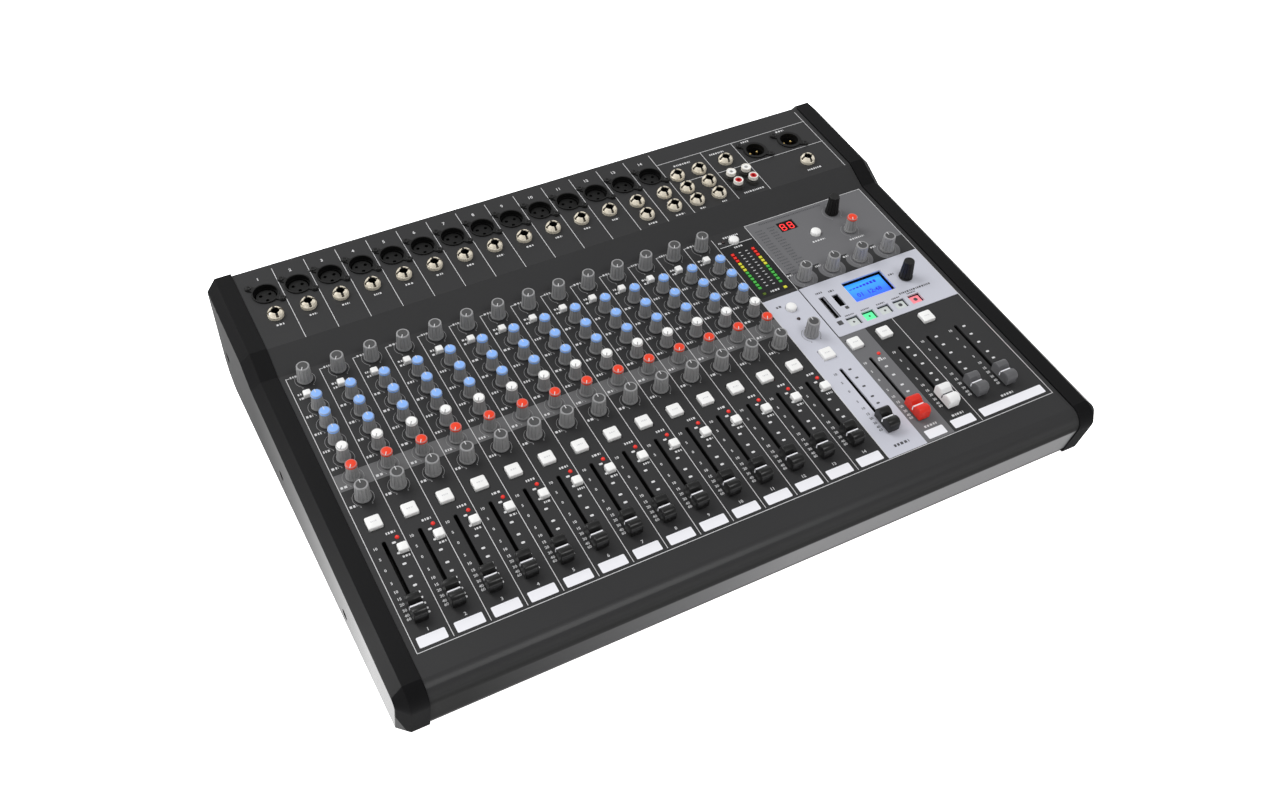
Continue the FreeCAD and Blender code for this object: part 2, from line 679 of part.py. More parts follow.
def xlr_input(x, v, h0):
    """A female socket: barrel, insert with three contact holes, and the release tab's notch."""
    body = xlr_flange(x, v, h0).fuse(disc(x, v, XLR_BARREL_R, h0 - XLR_DEPTH, h0))
    body = body.cut(ring(x, v, XLR_GROOVE_R, XLR_INSERT_R, h0 - 14.0, h0 - XLR_RECESS))
    body = body.cut(disc(x, v, XLR_BORE_R, h0 - XLR_RECESS, h0 + 2.0))
    for angle in (150, 30, 270):
        cx = x + 4.2 * math.cos(math.radians(angle))
        cv = v + 4.2 * math.sin(math.radians(angle))
        body = body.cut(disc(cx, cv, 1.4, h0 - 12.0, h0))
    return body.Solids[0]


def xlr_output(x, v, h0):
    body = xlr_flange(x, v, h0).fuse(disc(x, v, XLR_BARREL_R, h0 - XLR_DEPTH, h0))
    body = body.cut(disc(x, v, OUTPUT_CHAMBER_R, h0 - 15.0, h0 - OUTPUT_MOUTH))
    body = body.cut(disc(x, v, OUTPUT_BORE_R, h0 - OUTPUT_MOUTH, h0 + 2.0))
    return body.Solids[0]


def output_pins(x, v, h0):
    pins = []
    for angle in (150, 30, 270):
        cx = x + 4.0 * math.cos(math.radians(angle))
        cv = v + 4.0 * math.sin(math.radians(angle))
        shaft = disc(cx, cv, 1.2, h0 - 15.0, h0 - 4.2)
        tip = Part.makeSphere(1.2, V(cx, cv, h0 - 4.2))
        pins.append(shaft.fuse(tip).Solids[0])
    return pins


def jack_socket(x, v, h0):
    """A 6.35 mm jack: moulded body, threaded bush and the bore through both."""
    body = block(x, v, 15.0, 15.0, h0 - JACK_DEPTH, h0 - SHEET_T)
    body = body.fuse(disc(x, v, BUSH_R, h0 - SHEET_T, h0 + BUSH_TOP))
    return body.cut(disc(x, v, JACK_BORE_R, h0 - JACK_DEPTH + 2.0, h0 + BUSH_TOP)).Solids[0]


def jack_nut(x, v, h0):
    """A domed ring nut that covers the bush's rim, with four slots across its dome."""
    shoulder = BUSH_R + 0.05
    under = h0 + BUSH_TOP + 0.1
    outline = [(shoulder, h0), (NUT_R, h0), (NUT_R, h0 + 2.4), (NUT_R - 0.8, h0 + 4.2),
               (NUT_R - 2.0, h0 + NUT_H), (NUT_LIP_R, h0 + NUT_H), (NUT_LIP_R, under), (shoulder, under)]
    nut = turned(x, v, outline)
    for width, length in ((NUT_SLOT, 2 * NUT_R + 1.0), (2 * NUT_R + 1.0, NUT_SLOT)):
        nut = nut.cut(block(x, v, width, length, h0 + 3.2, h0 + NUT_H + 1.0))
    return nut.Solids[0]


def rca_socket(x, v, h0):
    """The outer shell of a phono socket, on a moulded base under the sheet."""
    shell = ring(x, v, RCA_R, 3.55, h0, h0 + RCA_H)
    foot = ring(x, v, 5.2, 3.55, h0, h0 + 3.0)
    return shell.fuse(foot).removeSplitter().Solids[0]


def rca_insert(x, v, h0):
    """The coloured insulator with the hole for the plug's pin, and its tail through the sheet."""
    insert = disc(x, v, 3.5, h0, h0 + RCA_H - 0.3).fuse(disc(x, v, 2.4, h0 - 8.0, h0))
    return insert.cut(disc(x, v, 1.6, h0 - 2.0, h0 + RCA_H)).Solids[0]


def connectors():
    save_tilted("xlr_sockets", [xlr_input(x, REAR_V + s, REAR_H) for x, s in input_sockets()])
    save_tilted("xlr_output_shells", [xlr_output(x, REAR_V + s, REAR_H) for x, s in output_sockets()])
    pins = [pin for x, s in output_sockets() for pin in output_pins(x, REAR_V + s, REAR_H)]
    save_tilted("xlr_output_pins", pins)
    save_tilted("jack_sockets", [jack_socket(x, REAR_V + s, REAR_H) for x, s in jack_places()])
    save_tilted("jack_nuts", [jack_nut(x, REAR_V + s, REAR_H) for x, s in jack_places()])
    places = [place_ for row in RCA_S for place_ in rca_places(row)]
    save_tilted("rca_shells", [rca_socket(x, REAR_V + s, REAR_H) for x, s in places])
    save_tilted("rca_inserts", [rca_insert(x, REAR_V + s, REAR_H) for x, s in places])


# ---- controls that move -------------------------------------------------------------------------
def fader_cap(x):
    """A fader cap with two lobes and a finger groove between them, and the lever it is pushed onto."""
    front = [V(0, FADER_V - v, h) for v, h in CAP_PROFILE]
    back = [V(0, FADER_V + v, h) for v, h in reversed(CAP_PROFILE)]
    outline = front + back
    cap = Part.Face(Part.makePolygon(outline + outline[:1])).extrude(V(CAP_W, 0, 0))
    cap.translate(V(x - CAP_W / 2, 0, 0))
    lever = block(x, FADER_V, LEVER_T, LEVER_L, -8.6, CAP_FOOT)
    return [cap.Solids[0], lever]


def ribbed_outline(x, v, radius, h):
    """A closed outline of flat crowns with a V groove after each."""
    points = []
    for k in range(RIBS):
        for turn, size in ((-0.28, 1.0), (0.28, 1.0), (0.5, GROOVE)):
            angle = 2 * math.pi * (k + turn) / RIBS
            points.append(V(x + radius * size * math.cos(angle), v + radius * size * math.sin(angle), h))
    return Part.makePolygon(points + points[:1])


def knob(x, v, kind):
    """A tapered knob with ribs round its side, a round collar below and a round cap on top, and its shaft."""
    collar_top = KNOB_FOOT + KNOB_COLLAR
    cap_foot = kind["top"] - kind["cap_h"]
    rings = [ribbed_outline(x, v, kind["low"], collar_top), ribbed_outline(x, v, kind["high"], cap_foot)]
    body = Part.makeLoft(rings, True, True)
    body = body.fuse(disc(x, v, kind["collar"], KNOB_FOOT, collar_top))
    body = body.fuse(chamfer_top(disc(x, v, kind["cap"], cap_foot, kind["top"]), 0.4))
    shaft = disc(x, v, SHAFT_R, POT_TOP + 0.1, KNOB_FOOT)
    return [body.removeSplitter().Solids[0], shaft]


def strip_knob(name, x, v):
    return knob(x, v, COLOUR_KNOB if name in COLOURED else GREY_KNOB)


def knobs():
    first, *others = strips()
    rows = []
    for name, v in KNOB_V.items():
        save_tilted(f"knob_{name}_01", strip_knob(name, first, v))
        pattern = strip_knob(name, 0, v)
        for x in others:
            for piece in pattern:
                copy = piece.copy()
                copy.translate(V(x, 0, 0))
                rows.append(copy)
    save_tilted("knobs_inputs_02_to_14", rows)
    sends = [piece for x in SEND_KNOBS_X for piece in knob(LEFT + x, SEND_KNOBS_V, GREY_KNOB)]
    save_tilted("knobs_sends", sends)
    save_tilted("knob_fx_program", knob(LEFT + FX_KNOB[0], FX_KNOB[1], TALL_KNOB))
    save_tilted("knob_fx_level", knob(LEFT + FX_LEVEL[0], FX_LEVEL[1], COLOUR_KNOB))
    save_tilted("knob_return", knob(LEFT + RETURN_KNOB[0], RETURN_KNOB[1], GREY_KNOB))
    save_tilted("knob_player", knob(LEFT + PLAYER_KNOB[0], PLAYER_KNOB[1], TALL_KNOB))


def faders():
    for name, x in fader_places():
        save_tilted(f"fader_{name}", fader_cap(x))


def button(x, v, cap):
    """A button cap with its plunger down to the switch."""
    return cap.fuse(block(x, v, 3.0, 3.0, SWITCH_TOP + 1.3, -2.4)).removeSplitter().Solids[0]


def square_button(x, v, size, top=BUTTON_TOP):
    return button(x, v, chamfer_top(block(x, v, size, size, -2.4, top), 0.5))


def round_button(x, v):
    return button(x, v, chamfer_top(disc(x, v, ROUND_R, -2.4, BUTTON_TOP), 0.5))


def player_key(x, v):
    """A translucent key, a little below its window."""
    return button(x, v, block(x, v, WINDOW_W - KEY_MARGIN, WINDOW_L - KEY_MARGIN, -5.0, -2.0))


def buttons():
    save_tilted("buttons_square", [square_button(x, v, SQUARE) for x, v in square_places()])
    small = [square_button(x, v, SMALL) for x, v in listen_places()]
    small += [square_button(x, v, FILTER) for x, v in filter_places()]
    save_tilted("buttons_small", small + [round_button(x, v) for x, v in round_places()])
    save_tilted("keys_player", [player_key(x, v) for x, v in key_places()])


# ---- lights and displays ------------------------------------------------------------------------
def lamp(x, v):
    """A 3 mm LED with its domed top just above the sheet."""
    return disc(x, v, 1.5, -6.0, 0.0).fuse(Part.makeSphere(1.5, V(x, v, -0.6))).Solids[0]


def indicators():
    bars = [block(x, v, METER_BAR[0], METER_BAR[1], -6.0, -0.2) for x, v in meter_places()]
    save_tilted("indicators", [lamp(x, v) for x, v in led_places()] + bars)
    x, v, width, length = SEGMENT
    save_tilted("segment_display", [block(LEFT + x, v, width - 0.4, length - 0.4, -8.0, -0.8)])
    x0, v0, x1, v1 = LCD
    glass = block(LEFT + (x0 + x1) / 2, (v0 + v1) / 2, x1 - x0 + 4.0, v1 - v0 + 4.0, -9.6, -4.4)
    save_tilted("lcd", [glass])


def media_ports():
    """The USB socket and the memory card reader behind the player's plate."""
    x, v, width, length = USB
    usb = block(LEFT + x, v, width - 0.2, length - 0.2, -19.0, UNDER)
    usb = usb.cut(block(LEFT + x, v, width - 1.0, length - 1.0, -17.5, UNDER))
    tongue = block(LEFT + x - 0.9, v, 1.8, 11.0, -17.6, -5.2)
    card_x, card_v, card_w, card_l = CARD
    reader = block(LEFT + card_x, card_v, card_w + 3.0, card_l + 3.0, -19.0, UNDER)
    reader = reader.cut(block(LEFT + card_x, card_v, card_w, card_l, -17.5, UNDER))
    save_tilted("media_ports", [usb.fuse(tongue).Solids[0], reader])


# ---- inside -------------------------------------------------------------------------------------
def fader_body(x):
    """A 60 mm slide potentiometer: a channel with the lever's slot along its top."""
    low, high = slot_span()
    body = block(x, (low + high) / 2, 9.0, high - low + 12.0, BOARD_TOP, -2.2)
    return body.cut(block(x, (low + high) / 2, 3.4, high - low, BOARD_TOP + 1.2, -2.2))


def rotary_pot(x, v):
    return block(x, v, 9.8, 11.0, BOARD_TOP, POT_TOP)


def switch(x, v):
    return block(x, v, 6.0, 6.0, BOARD_TOP, SWITCH_TOP)


def inside():
    save_tilted("slide_pots", [fader_body(x) for _, x in fader_places()])
    pots = [rotary_pot(x, v) for x, v in knob_places()[:-1]]
    save_tilted("rotary_pots", pots + [block(LEFT + PLAYER_KNOB[0], PLAYER_KNOB[1], 11.0, 11.0, -19.0, POT_TOP)])
    places = square_places() + listen_places() + filter_places() + round_places() + key_places()
    save_tilted("switches", [switch(x, v) for x, v in places])
    circuit_boards()


def circuit_boards():
    """The control board, the player's board under its plate and the connector board."""
    x0, v0, x1, v1 = PLAYER
    outline = square_hole(0, 133.0, PRINT_W - 4.0, 252.0)
    window = square_hole(LEFT + (x0 + x1) / 2, (v0 + v1) / 2 + 6.0, x1 - x0 - 8.0, 40.0)
    main = pierced(outline, [window], BOARD_TOP, BOARD_T)
    player = block(LEFT + (x0 + x1) / 2, (v0 + v1) / 2 + 6.0, x1 - x0 - 4.0, 46.0,
                   PLAYER_BOARD_TOP + 1.0 - BOARD_T, PLAYER_BOARD_TOP + 1.0)
    top = REAR_H - JACK_DEPTH
    connector = block(0, REAR_V + 42.0, PRINT_W - 6.0, 76.0, top - BOARD_T, top)
    save_tilted("circuit_boards", [main, player, connector])


def power_supply():
    """The mains supply on the floor behind the inlet: board, transformer, capacitors and heat sink."""
    floor = FLOOR_Z + SHEET_T + ORIGIN_Z
    y = 306.0 + ORIGIN_Y
    board = Part.makeBox(110.0, 62.0, 1.6, V(120.0, y - 31.0, floor + 4.0))
    deck = floor + 5.6
    pieces = [board]
    pieces.append(Part.makeBox(34.0, 30.0, 22.0, V(130.0, y - 20.0, deck)))
    pieces.append(Part.makeBox(4.0, 50.0, 20.0, V(222.0, y - 26.0, deck)))
    pieces += [Part.makeCylinder(7.0, 22.0, V(180.0, y - 16.0 + 18.0 * k, deck)) for k in range(2)]
    legs = [(x, dy) for x in (125.0, 225.0) for dy in (-26.0, 26.0)]
    pieces += [Part.makeCylinder(2.6, 4.0, V(x, y + dy, floor)) for x, dy in legs]
    save("power_supply", pieces)


def power_inlet():
    """The mains module in the rear wall: a three-pin inlet and the rocker's housing in one moulding."""
    depth = 22.0
    x0, x1 = POWER_X
    face = WALL_Y + ORIGIN_Y
    centre = POWER_Z + ORIGIN_Z
    shell = power_box(2.0, WALL_Y, WALL_Y + 2.0).fuse(power_box(0.0, WALL_Y - depth, WALL_Y))
    shell = shell.cut(Part.makeBox(24.4, 20.0, 16.4, V(INLET_X - 12.2, face - 16.0, centre - 8.2)))
    for dx, dz in ((-7.0, -2.2), (0.0, 2.2), (7.0, -2.2)):
        blade = Part.makeBox(2.0, 12.0, 4.0, V(INLET_X + dx - 1.0, face - 16.4, centre + dz - 2.0))
        shell = shell.fuse(blade)
    height = ROCKER_H + 2 * ROCKER_CLEAR
    pocket = Part.makeBox(12.2, 20.0, height, V(ROCKER_X - 6.1, face - 16.0, centre - height / 2))
    seat = rocker_pin(ROCKER_PIN_R + PIN_FIT, 14.0)
    save("power_inlet", [shell.cut(pocket).cut(seat).removeSplitter().Solids[0]])


def rocker_pin(radius, length):
    start = V(ROCKER_X - length / 2, WALL_Y - ROCKER_PIN_DEPTH + ORIGIN_Y, POWER_Z + ORIGIN_Z)
    return Part.makeCylinder(radius, length, start, V(1, 0, 0))


def power_rocker():
    """The mains rocker, tipped to one side. It turns on a pin along X, which its housing holds at both ends."""
    y = WALL_Y + ORIGIN_Y
    centre = POWER_Z + ORIGIN_Z
    half = ROCKER_H / 2
    outline = [(-6.0, -5.0), (1.6, -half), (4.4, -half), (2.6, 0.0), (4.4, half), (1.6, half), (-6.0, 5.0)]
    corners = [V(ROCKER_X - ROCKER_W / 2, y + dy, centre + dz) for dy, dz in outline]
    rocker = Part.Face(Part.makePolygon(corners + corners[:1])).extrude(V(ROCKER_W, 0, 0))
    rocker.rotate(V(ROCKER_X, y - ROCKER_PIN_DEPTH, centre), V(1, 0, 0), -ROCKER_SWING)
    rocker = rocker.fuse(rocker_pin(ROCKER_PIN_R, 13.8))
    save("power_rocker", [rocker.Solids[0]])


# ---- build --------------------------------------------------------------------------------------
top_panel()
player_panel()
chassis()
save("cheek_left", [cheek(-1)])
save("cheek_right", [cheek(1)])
screws()
rubber_feet()
connectors()
knobs()
faders()
buttons()
indicators()
media_ports()
inside()
power_supply()
power_inlet()
power_rocker()
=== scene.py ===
"""Looks of the desktop mixing console.

Materials, knob caps, fader caps, buttons, lamps, displays and printed marks, placed in the panel frame.
"""
import json
import math
import random

import bmesh
import bpy
from mathutils import Matrix, Vector


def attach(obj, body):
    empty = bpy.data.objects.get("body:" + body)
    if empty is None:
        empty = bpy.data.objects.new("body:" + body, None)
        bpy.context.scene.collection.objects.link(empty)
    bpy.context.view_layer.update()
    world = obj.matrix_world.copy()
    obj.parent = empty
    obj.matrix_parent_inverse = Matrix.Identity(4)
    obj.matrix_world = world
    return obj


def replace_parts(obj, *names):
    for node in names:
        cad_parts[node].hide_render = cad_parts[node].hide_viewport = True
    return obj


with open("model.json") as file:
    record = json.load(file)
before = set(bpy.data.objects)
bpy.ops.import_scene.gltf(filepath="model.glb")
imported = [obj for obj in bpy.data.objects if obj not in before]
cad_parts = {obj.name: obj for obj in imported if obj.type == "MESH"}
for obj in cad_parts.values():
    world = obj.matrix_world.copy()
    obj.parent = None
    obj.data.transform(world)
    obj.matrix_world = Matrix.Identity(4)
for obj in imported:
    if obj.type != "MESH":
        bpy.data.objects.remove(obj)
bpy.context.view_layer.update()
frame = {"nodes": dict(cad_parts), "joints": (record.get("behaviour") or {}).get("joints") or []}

MM = 0.001
RNG = random.Random(7)
JOINTS = {joint["name"]: joint for joint in frame["joints"]}

# ---- panel frame: x across, v up the slope, h out of the panel, all in millimetres ----------------
PITCH = 26.0
CHANNELS = 14
MONO = 12
LEFT = -257.0
REAR_V = 285.0
REAR_H = 9.3
INK = 0.05              # printed marks lie this far above the sheet
STRIP_END = 364.0       # x of the master section, from the printed area's left line
SILVER_END = 397.9
GREY_END = 422.6
LAST_LINE = 448.5
PRINT_W = 514.0

KNOB_V = {"gain": 252.7, "high": 223.2, "mid": 205.0, "low": 187.0, "aux": 169.7, "fx": 151.3, "pan": 131.3}
KNOB_TOP = 15.0
SENDS_X = (410.0, 437.2, 464.4, 491.6)
SENDS_V = 187.3
TAB_R = 11.4            # grey tabs around the send knobs, and the line where they end
TAB_V = 178.0
FX_KNOB = (475.3, 245.7)
FX_LEVEL = (476.8, 220.2)
RETURN_KNOB = (380.6, 130.8)
MASTERS = {"return": 380.9, "fx": 408.2, "aux": 435.2, "main_left": 462.3, "main_right": 489.3}
FADER_V = 29.4
FADER_DX = -1.3
METER_X = (371.3, 390.8)
METER_V = 192.4
METER_STEP = 3.9
METER_POWER_V = 185.1
SEGMENT = (431.6, 247.5)
LCD = (433.6, 145.4, 471.6, 168.8)
LCD_GLASS = (-4.6, -4.37)   # underside and face of the display's glass
LCD_INK = -4.34
LCD_BAR_STEP = 3.4
KEYS_X = (419.9, 434.8, 449.7, 464.6, 479.5)
KEYS_V = 129.0
PEAK = (8.6, 90.0)
LISTEN = (8.9, 79.6)
LISTEN_SIZE = 7.0
FILTER = (-3.4, 237.8)
FILTER_SIZE = 5.6
MUTE_V = 107.4
MASTER_SQUARES = (379.9, 405.9, 433.5, 474.2)
ROUND_BUTTONS = ((380.6, 249.6), (448.5, 229.3), (381.7, 162.0))
DARK_LAMPS = ((371.8, 251.7), (380.9, 149.5))
FX_LAMP = (417.0, 91.0)
AUX_JACKS = [(x, s) for x in (372.3, 393.6) for s in (47.0, 29.7, 12.5)]
JACK_S = 31.7
LOWER_JACK_S = 13.8
SINGLE_JACK = (421.0, 48.6)
PHONES_JACK = (486.7, 19.0)
RCA_X = (413.2, 428.0)
RCA_S = (26.8, 14.6)
CARD = (410.3, 149.7, 3.6, 25.2)

UP = Vector(JOINTS["fader_input_01_slide"]["axis"]).normalized()
OUT = Vector(JOINTS["knob_pan_01_turn"]["axis"]).normalized()
BASE = Vector(JOINTS["knob_pan_01_turn"]["pos_m"]) - UP * KNOB_V["pan"] * MM
BASE.x = 0.0
PANEL = Matrix((
    (MM, 0, 0, BASE.x),
    (0, UP.y * MM, OUT.y * MM, BASE.y),
    (0, UP.z * MM, OUT.z * MM, BASE.z),
    (0, 0, 0, 1),
))


def strip_x(channel):
    return LEFT + PITCH * (channel + 0.5)


STRIPS = [strip_x(k) for k in range(CHANNELS)]
JACKS = [(x, JACK_S) for x in STRIPS] + [(x, LOWER_JACK_S) for x in STRIPS[MONO:]]
JACKS += [(LEFT + x, s) for x, s in AUX_JACKS + [SINGLE_JACK, PHONES_JACK]]


# ---- materials ------------------------------------------------------------------------------------
class Nodes:
    """Short names for building a node tree."""

    def __init__(self, name):
        self.material = bpy.data.materials.new(name)
        self.material.use_nodes = True
        self.tree = self.material.node_tree
        self.shader = self.tree.nodes["Principled BSDF"]

    def add(self, kind, **values):
        node = self.tree.nodes.new(kind)
        for key, value in values.items():
            setattr(node, key, value)
        return node

    def link(self, source, target):
        self.tree.links.new(source, target)

    def place(self):
        return self.add("ShaderNodeTexCoord").outputs["Object"]

    def math(self, operation, a, b=0.0, c=0.0):
        node = self.add("ShaderNodeMath", operation=operation)
        for socket, value in zip(node.inputs, (a, b, c)):
            if isinstance(value, (int, float)):
                socket.default_value = value
            else:
                self.link(value, socket)
        return node.outputs[0]

    def noise(self, scale, detail=2.0, rough=0.5):
        node = self.add("ShaderNodeTexNoise")
        node.inputs["Scale"].default_value = scale
        node.inputs["Detail"].default_value = detail
        node.inputs["Roughness"].default_value = rough
        self.link(self.place(), node.inputs["Vector"])
        return node.outputs["Fac"]

    def mix(self, factor, a, b):
        node = self.add("ShaderNodeMix", data_type="RGBA")
        for socket, value in ((node.inputs[0], factor), (node.inputs[6], a), (node.inputs[7], b)):
            if isinstance(value, (int, float)):
                socket.default_value = value
            elif isinstance(value, (tuple, list)):
                socket.default_value = (*value[:3], 1.0)
            else:
                self.link(value, socket)
        return node.outputs[2]

    def dot(self, vector):
        node = self.add("ShaderNodeVectorMath", operation="DOT_PRODUCT")
        self.link(self.place(), node.inputs[0])
        node.inputs[1].default_value = vector
        return node.outputs["Value"]

    def panel_x(self):
        return self.math("MULTIPLY", self.dot(Vector((1, 0, 0))), 1 / MM)

    def panel_v(self):
        return self.math("MULTIPLY_ADD", self.dot(UP), 1 / MM, -BASE.dot(UP) / MM)

    def within(self, value, low, high):
        above = self.math("GREATER_THAN", value, low)
        return self.math("MULTIPLY", above, self.math("LESS_THAN", value, high))

    def bump(self, height, strength, distance=0.0002):
        node = self.add("ShaderNodeBump")
        node.inputs["Strength"].default_value = strength
        node.inputs["Distance"].default_value = distance
        self.link(height, node.inputs["Height"])
        self.link(node.outputs["Normal"], self.shader.inputs["Normal"])
        return node.inputs["Strength"]

    def clamp(self, value):
        return self.math("MINIMUM", self.math("MAXIMUM", value, 0.0), 1.0)


def shade(color, factor):
    return tuple(min(1.0, channel * factor) for channel in color)


def surface(name, color, rough=0.5, metal=0.0, vary=0.08, grain=900.0, relief=0.05, glow=0.0, specular=0.5):
    """A solid finish: colour and gloss drift a little, with a fine grain."""
    n = Nodes(name)
    drift = n.noise(18.0)
    fine = n.noise(grain, 3.0, 0.6)
    base = n.mix(drift, shade(color, 1 - vary), shade(color, 1 + vary))
    light = shade(color, 1 + 2 * vary)
    n.link(n.mix(n.math("MULTIPLY", fine, 0.35), base, light), n.shader.inputs["Base Color"])
    n.link(n.math("MULTIPLY_ADD", drift, 0.12, rough - 0.06), n.shader.inputs["Roughness"])
    n.shader.inputs["Metallic"].default_value = metal
    n.shader.inputs["Specular IOR Level"].default_value = specular
    if relief:
        n.bump(fine, relief)
    if glow:
        n.link(base, n.shader.inputs["Emission Color"])
        n.shader.inputs["Emission Strength"].default_value = glow
    return n.material


CHARCOAL = (0.026, 0.026, 0.027)
SILVER = (0.57, 0.58, 0.65)
MID_GREY = (0.145, 0.145, 0.152)
BAND_GREY = (0.130, 0.130, 0.133)
BLACK_PRINT = (0.010, 0.010, 0.011)
# painted reflection: the floor's reflection laid on the flat front face as a lighter grey
SKIRT_REFLECTION_GREY = (0.085, 0.085, 0.088)
ROLL_V = -18.0          # the sheet rolls over here, and shines more below it; below it the colour is painted shade, with a painted floor reflection on the flat front face
# painted shade: the dark colour laid on the roll below its crown and on the front face
PAINTED_SHADE_GREY = (0.006, 0.006, 0.006)
ROLL_Z = (0.037, 0.047)     # the roll's gloss fades out between these heights, and the painted shade fades in below them
SKIRT_Z = (0.0315, 0.0335)  # the flat front face starts here, with a soft edge; the painted floor reflection covers the face below it
NOSE_Y = -0.1915        # the cheeks round over in front of this
CHEEK_X = (0.2744, 0.2822)  # the cheek's chamfer lies between these, its side beyond


def panel_material():
    """The painted sheet with its printed colour areas, and painted shade and a painted floor reflection on
    its front roll and face.
    """
    n = Nodes("panel_paint")
    x, v = n.panel_x(), n.panel_v()
    drift, fine = n.noise(14.0), n.noise(1600.0, 3.0, 0.65)
    color = n.mix(drift, shade(CHARCOAL, 0.92), shade(CHARCOAL, 1.08))

    def area(x0, x1, v0, v1):
        return n.math("MULTIPLY", n.within(x, LEFT + x0, LEFT + x1), n.within(v, v0, v1))

    def paint(under, mask, over):
        return n.mix(mask, under, over)

    color = paint(color, area(0.4, STRIP_END, 141.7, 157.3), BAND_GREY)
    color = paint(color, area(STRIP_END + 0.6, SILVER_END - 0.6, 181.0, 245.2), BLACK_PRINT)
    color = paint(color, area(SILVER_END, PRINT_W, 197.0, 261.3), MID_GREY)
    for knob in SENDS_X:
        dx = n.math("SUBTRACT", x, LEFT + knob)
        dv = n.math("SUBTRACT", v, SENDS_V)
        reach = n.math("SQRT", n.math("ADD", n.math("MULTIPLY", dx, dx), n.math("MULTIPLY", dv, dv)))
        tab = n.math("MULTIPLY", n.math("LESS_THAN", reach, TAB_R), n.math("GREATER_THAN", v, TAB_V))
        color = paint(color, tab, MID_GREY)
    color = paint(color, area(SILVER_END, GREY_END, 0.8, 118.5), MID_GREY)
    color = paint(color, area(STRIP_END, SILVER_END, 0.8, 177.0), SILVER)
    low, high = SKIRT_Z
    rolled = n.math("LESS_THAN", v, ROLL_V)
    height = n.dot(Vector((0, 0, 1)))
    # painted floor reflection on the flat front face
    painted_reflection = n.clamp(n.math("MULTIPLY_ADD", height, -1 / (high - low), high / (high - low)))
    painted_reflection = n.math("MULTIPLY", painted_reflection, rolled)
    # the painted reflection grows lighter towards the right
    across = n.clamp(n.math("MULTIPLY_ADD", x, 0.004, 0.95))
    low, high = ROLL_Z
    crown = n.clamp(n.math("MULTIPLY_ADD", height, 1 / (high - low), -low / (high - low)))
    crown = n.math("MULTIPLY", crown, rolled)
    # painted shade on the roll below its crown and on the front face
    color = paint(color, n.math("SUBTRACT", rolled, crown), PAINTED_SHADE_GREY)
    # painted floor reflection, lighter towards the right
    color = paint(color, n.math("MULTIPLY", painted_reflection, across), SKIRT_REFLECTION_GREY)
    n.link(n.mix(n.math("MULTIPLY", fine, 0.10), color, (0.10, 0.10, 0.10)), n.shader.inputs["Base Color"])
    matt = n.math("SUBTRACT", n.math("SUBTRACT", rolled, crown), n.math("MULTIPLY", painted_reflection, across))
    rough = n.math("MULTIPLY_ADD", matt, 0.55, n.math("MULTIPLY_ADD", fine, 0.10, 0.38))
    n.link(n.math("MULTIPLY_ADD", crown, -0.10, rough), n.shader.inputs["Roughness"])
    n.shader.inputs["Specular IOR Level"].default_value = 0.2
    relief = n.bump(fine, 0.06, 0.0001)
    n.link(n.math("MULTIPLY_ADD", rolled, -0.055, 0.06), relief)
    return n.material


def cheek_material():
    """Satin black moulding, duller where it rounds over at the front."""
    n = Nodes("cheek_satin")
    drift, fine = n.noise(16.0), n.noise(1400.0, 3.0, 0.6)
    n.link(n.mix(drift, (0.0050, 0.0050, 0.0054), (0.0075, 0.0075, 0.0080)), n.shader.inputs["Base Color"])
    y, out = n.dot(Vector((0, 1, 0))), n.math("ABSOLUTE", n.dot(Vector((1, 0, 0))))
    side = n.math("GREATER_THAN", out, CHEEK_X[1])
    slope = n.math("SUBTRACT", n.math("GREATER_THAN", out, CHEEK_X[0]), side)
    near = n.clamp(n.math("MULTIPLY_ADD", y, -4.0, 0.4))
    rough = n.math("MULTIPLY_ADD", fine, 0.06, 0.34)
    rough = n.math("MULTIPLY_ADD", slope, n.math("MULTIPLY_ADD", near, -0.40, 0.45), rough)
    rough = n.math("MULTIPLY_ADD", side, n.math("MULTIPLY_ADD", near, -0.42, 0.25), rough)
    nose = n.math("MULTIPLY", n.math("LESS_THAN", y, NOSE_Y), n.math("SUBTRACT", 1.0, side))
    n.link(n.math("MULTIPLY_ADD", nose, 0.60, rough), n.shader.inputs["Roughness"])
    n.shader.inputs["Specular IOR Level"].default_value = 0.1
    return n.material


def two_tone(name, low, high, height, rough):
    """One colour up to a height above the connector field, and another above it."""
    n = Nodes(name)
    fine = n.noise(900.0)
    level = n.math("MULTIPLY_ADD", n.dot(OUT), 1 / MM, -BASE.dot(OUT) / MM - REAR_H)
    color = n.mix(n.math("GREATER_THAN", level, height), low, high)
    n.link(n.mix(n.math("MULTIPLY", fine, 0.1), color, shade(high, 0.8)), n.shader.inputs["Base Color"])
    n.link(n.math("MULTIPLY_ADD", fine, 0.1, rough), n.shader.inputs["Roughness"])
    return n.material


def lcd_material():
    """A backlit blue glass, deeper in colour towards its lower edge."""
    n = Nodes("lcd_blue")
    rise = n.math("MULTIPLY_ADD", n.panel_v(), 1 / (LCD[3] - LCD[1]), -LCD[1] / (LCD[3] - LCD[1]))
    wash = n.math("MULTIPLY_ADD", n.noise(160.0), 0.25, rise)
    color = n.mix(n.clamp(wash), (0.035, 0.04, 0.90), (0.04, 0.30, 0.95))
    n.link(color, n.shader.inputs["Base Color"])
    n.link(color, n.shader.inputs["Emission Color"])
    n.shader.inputs["Emission Strength"].default_value = 0.7
    n.shader.inputs["Roughness"].default_value = 0.15
    n.shader.inputs["Specular IOR Level"].default_value = 0.2
    return n.material


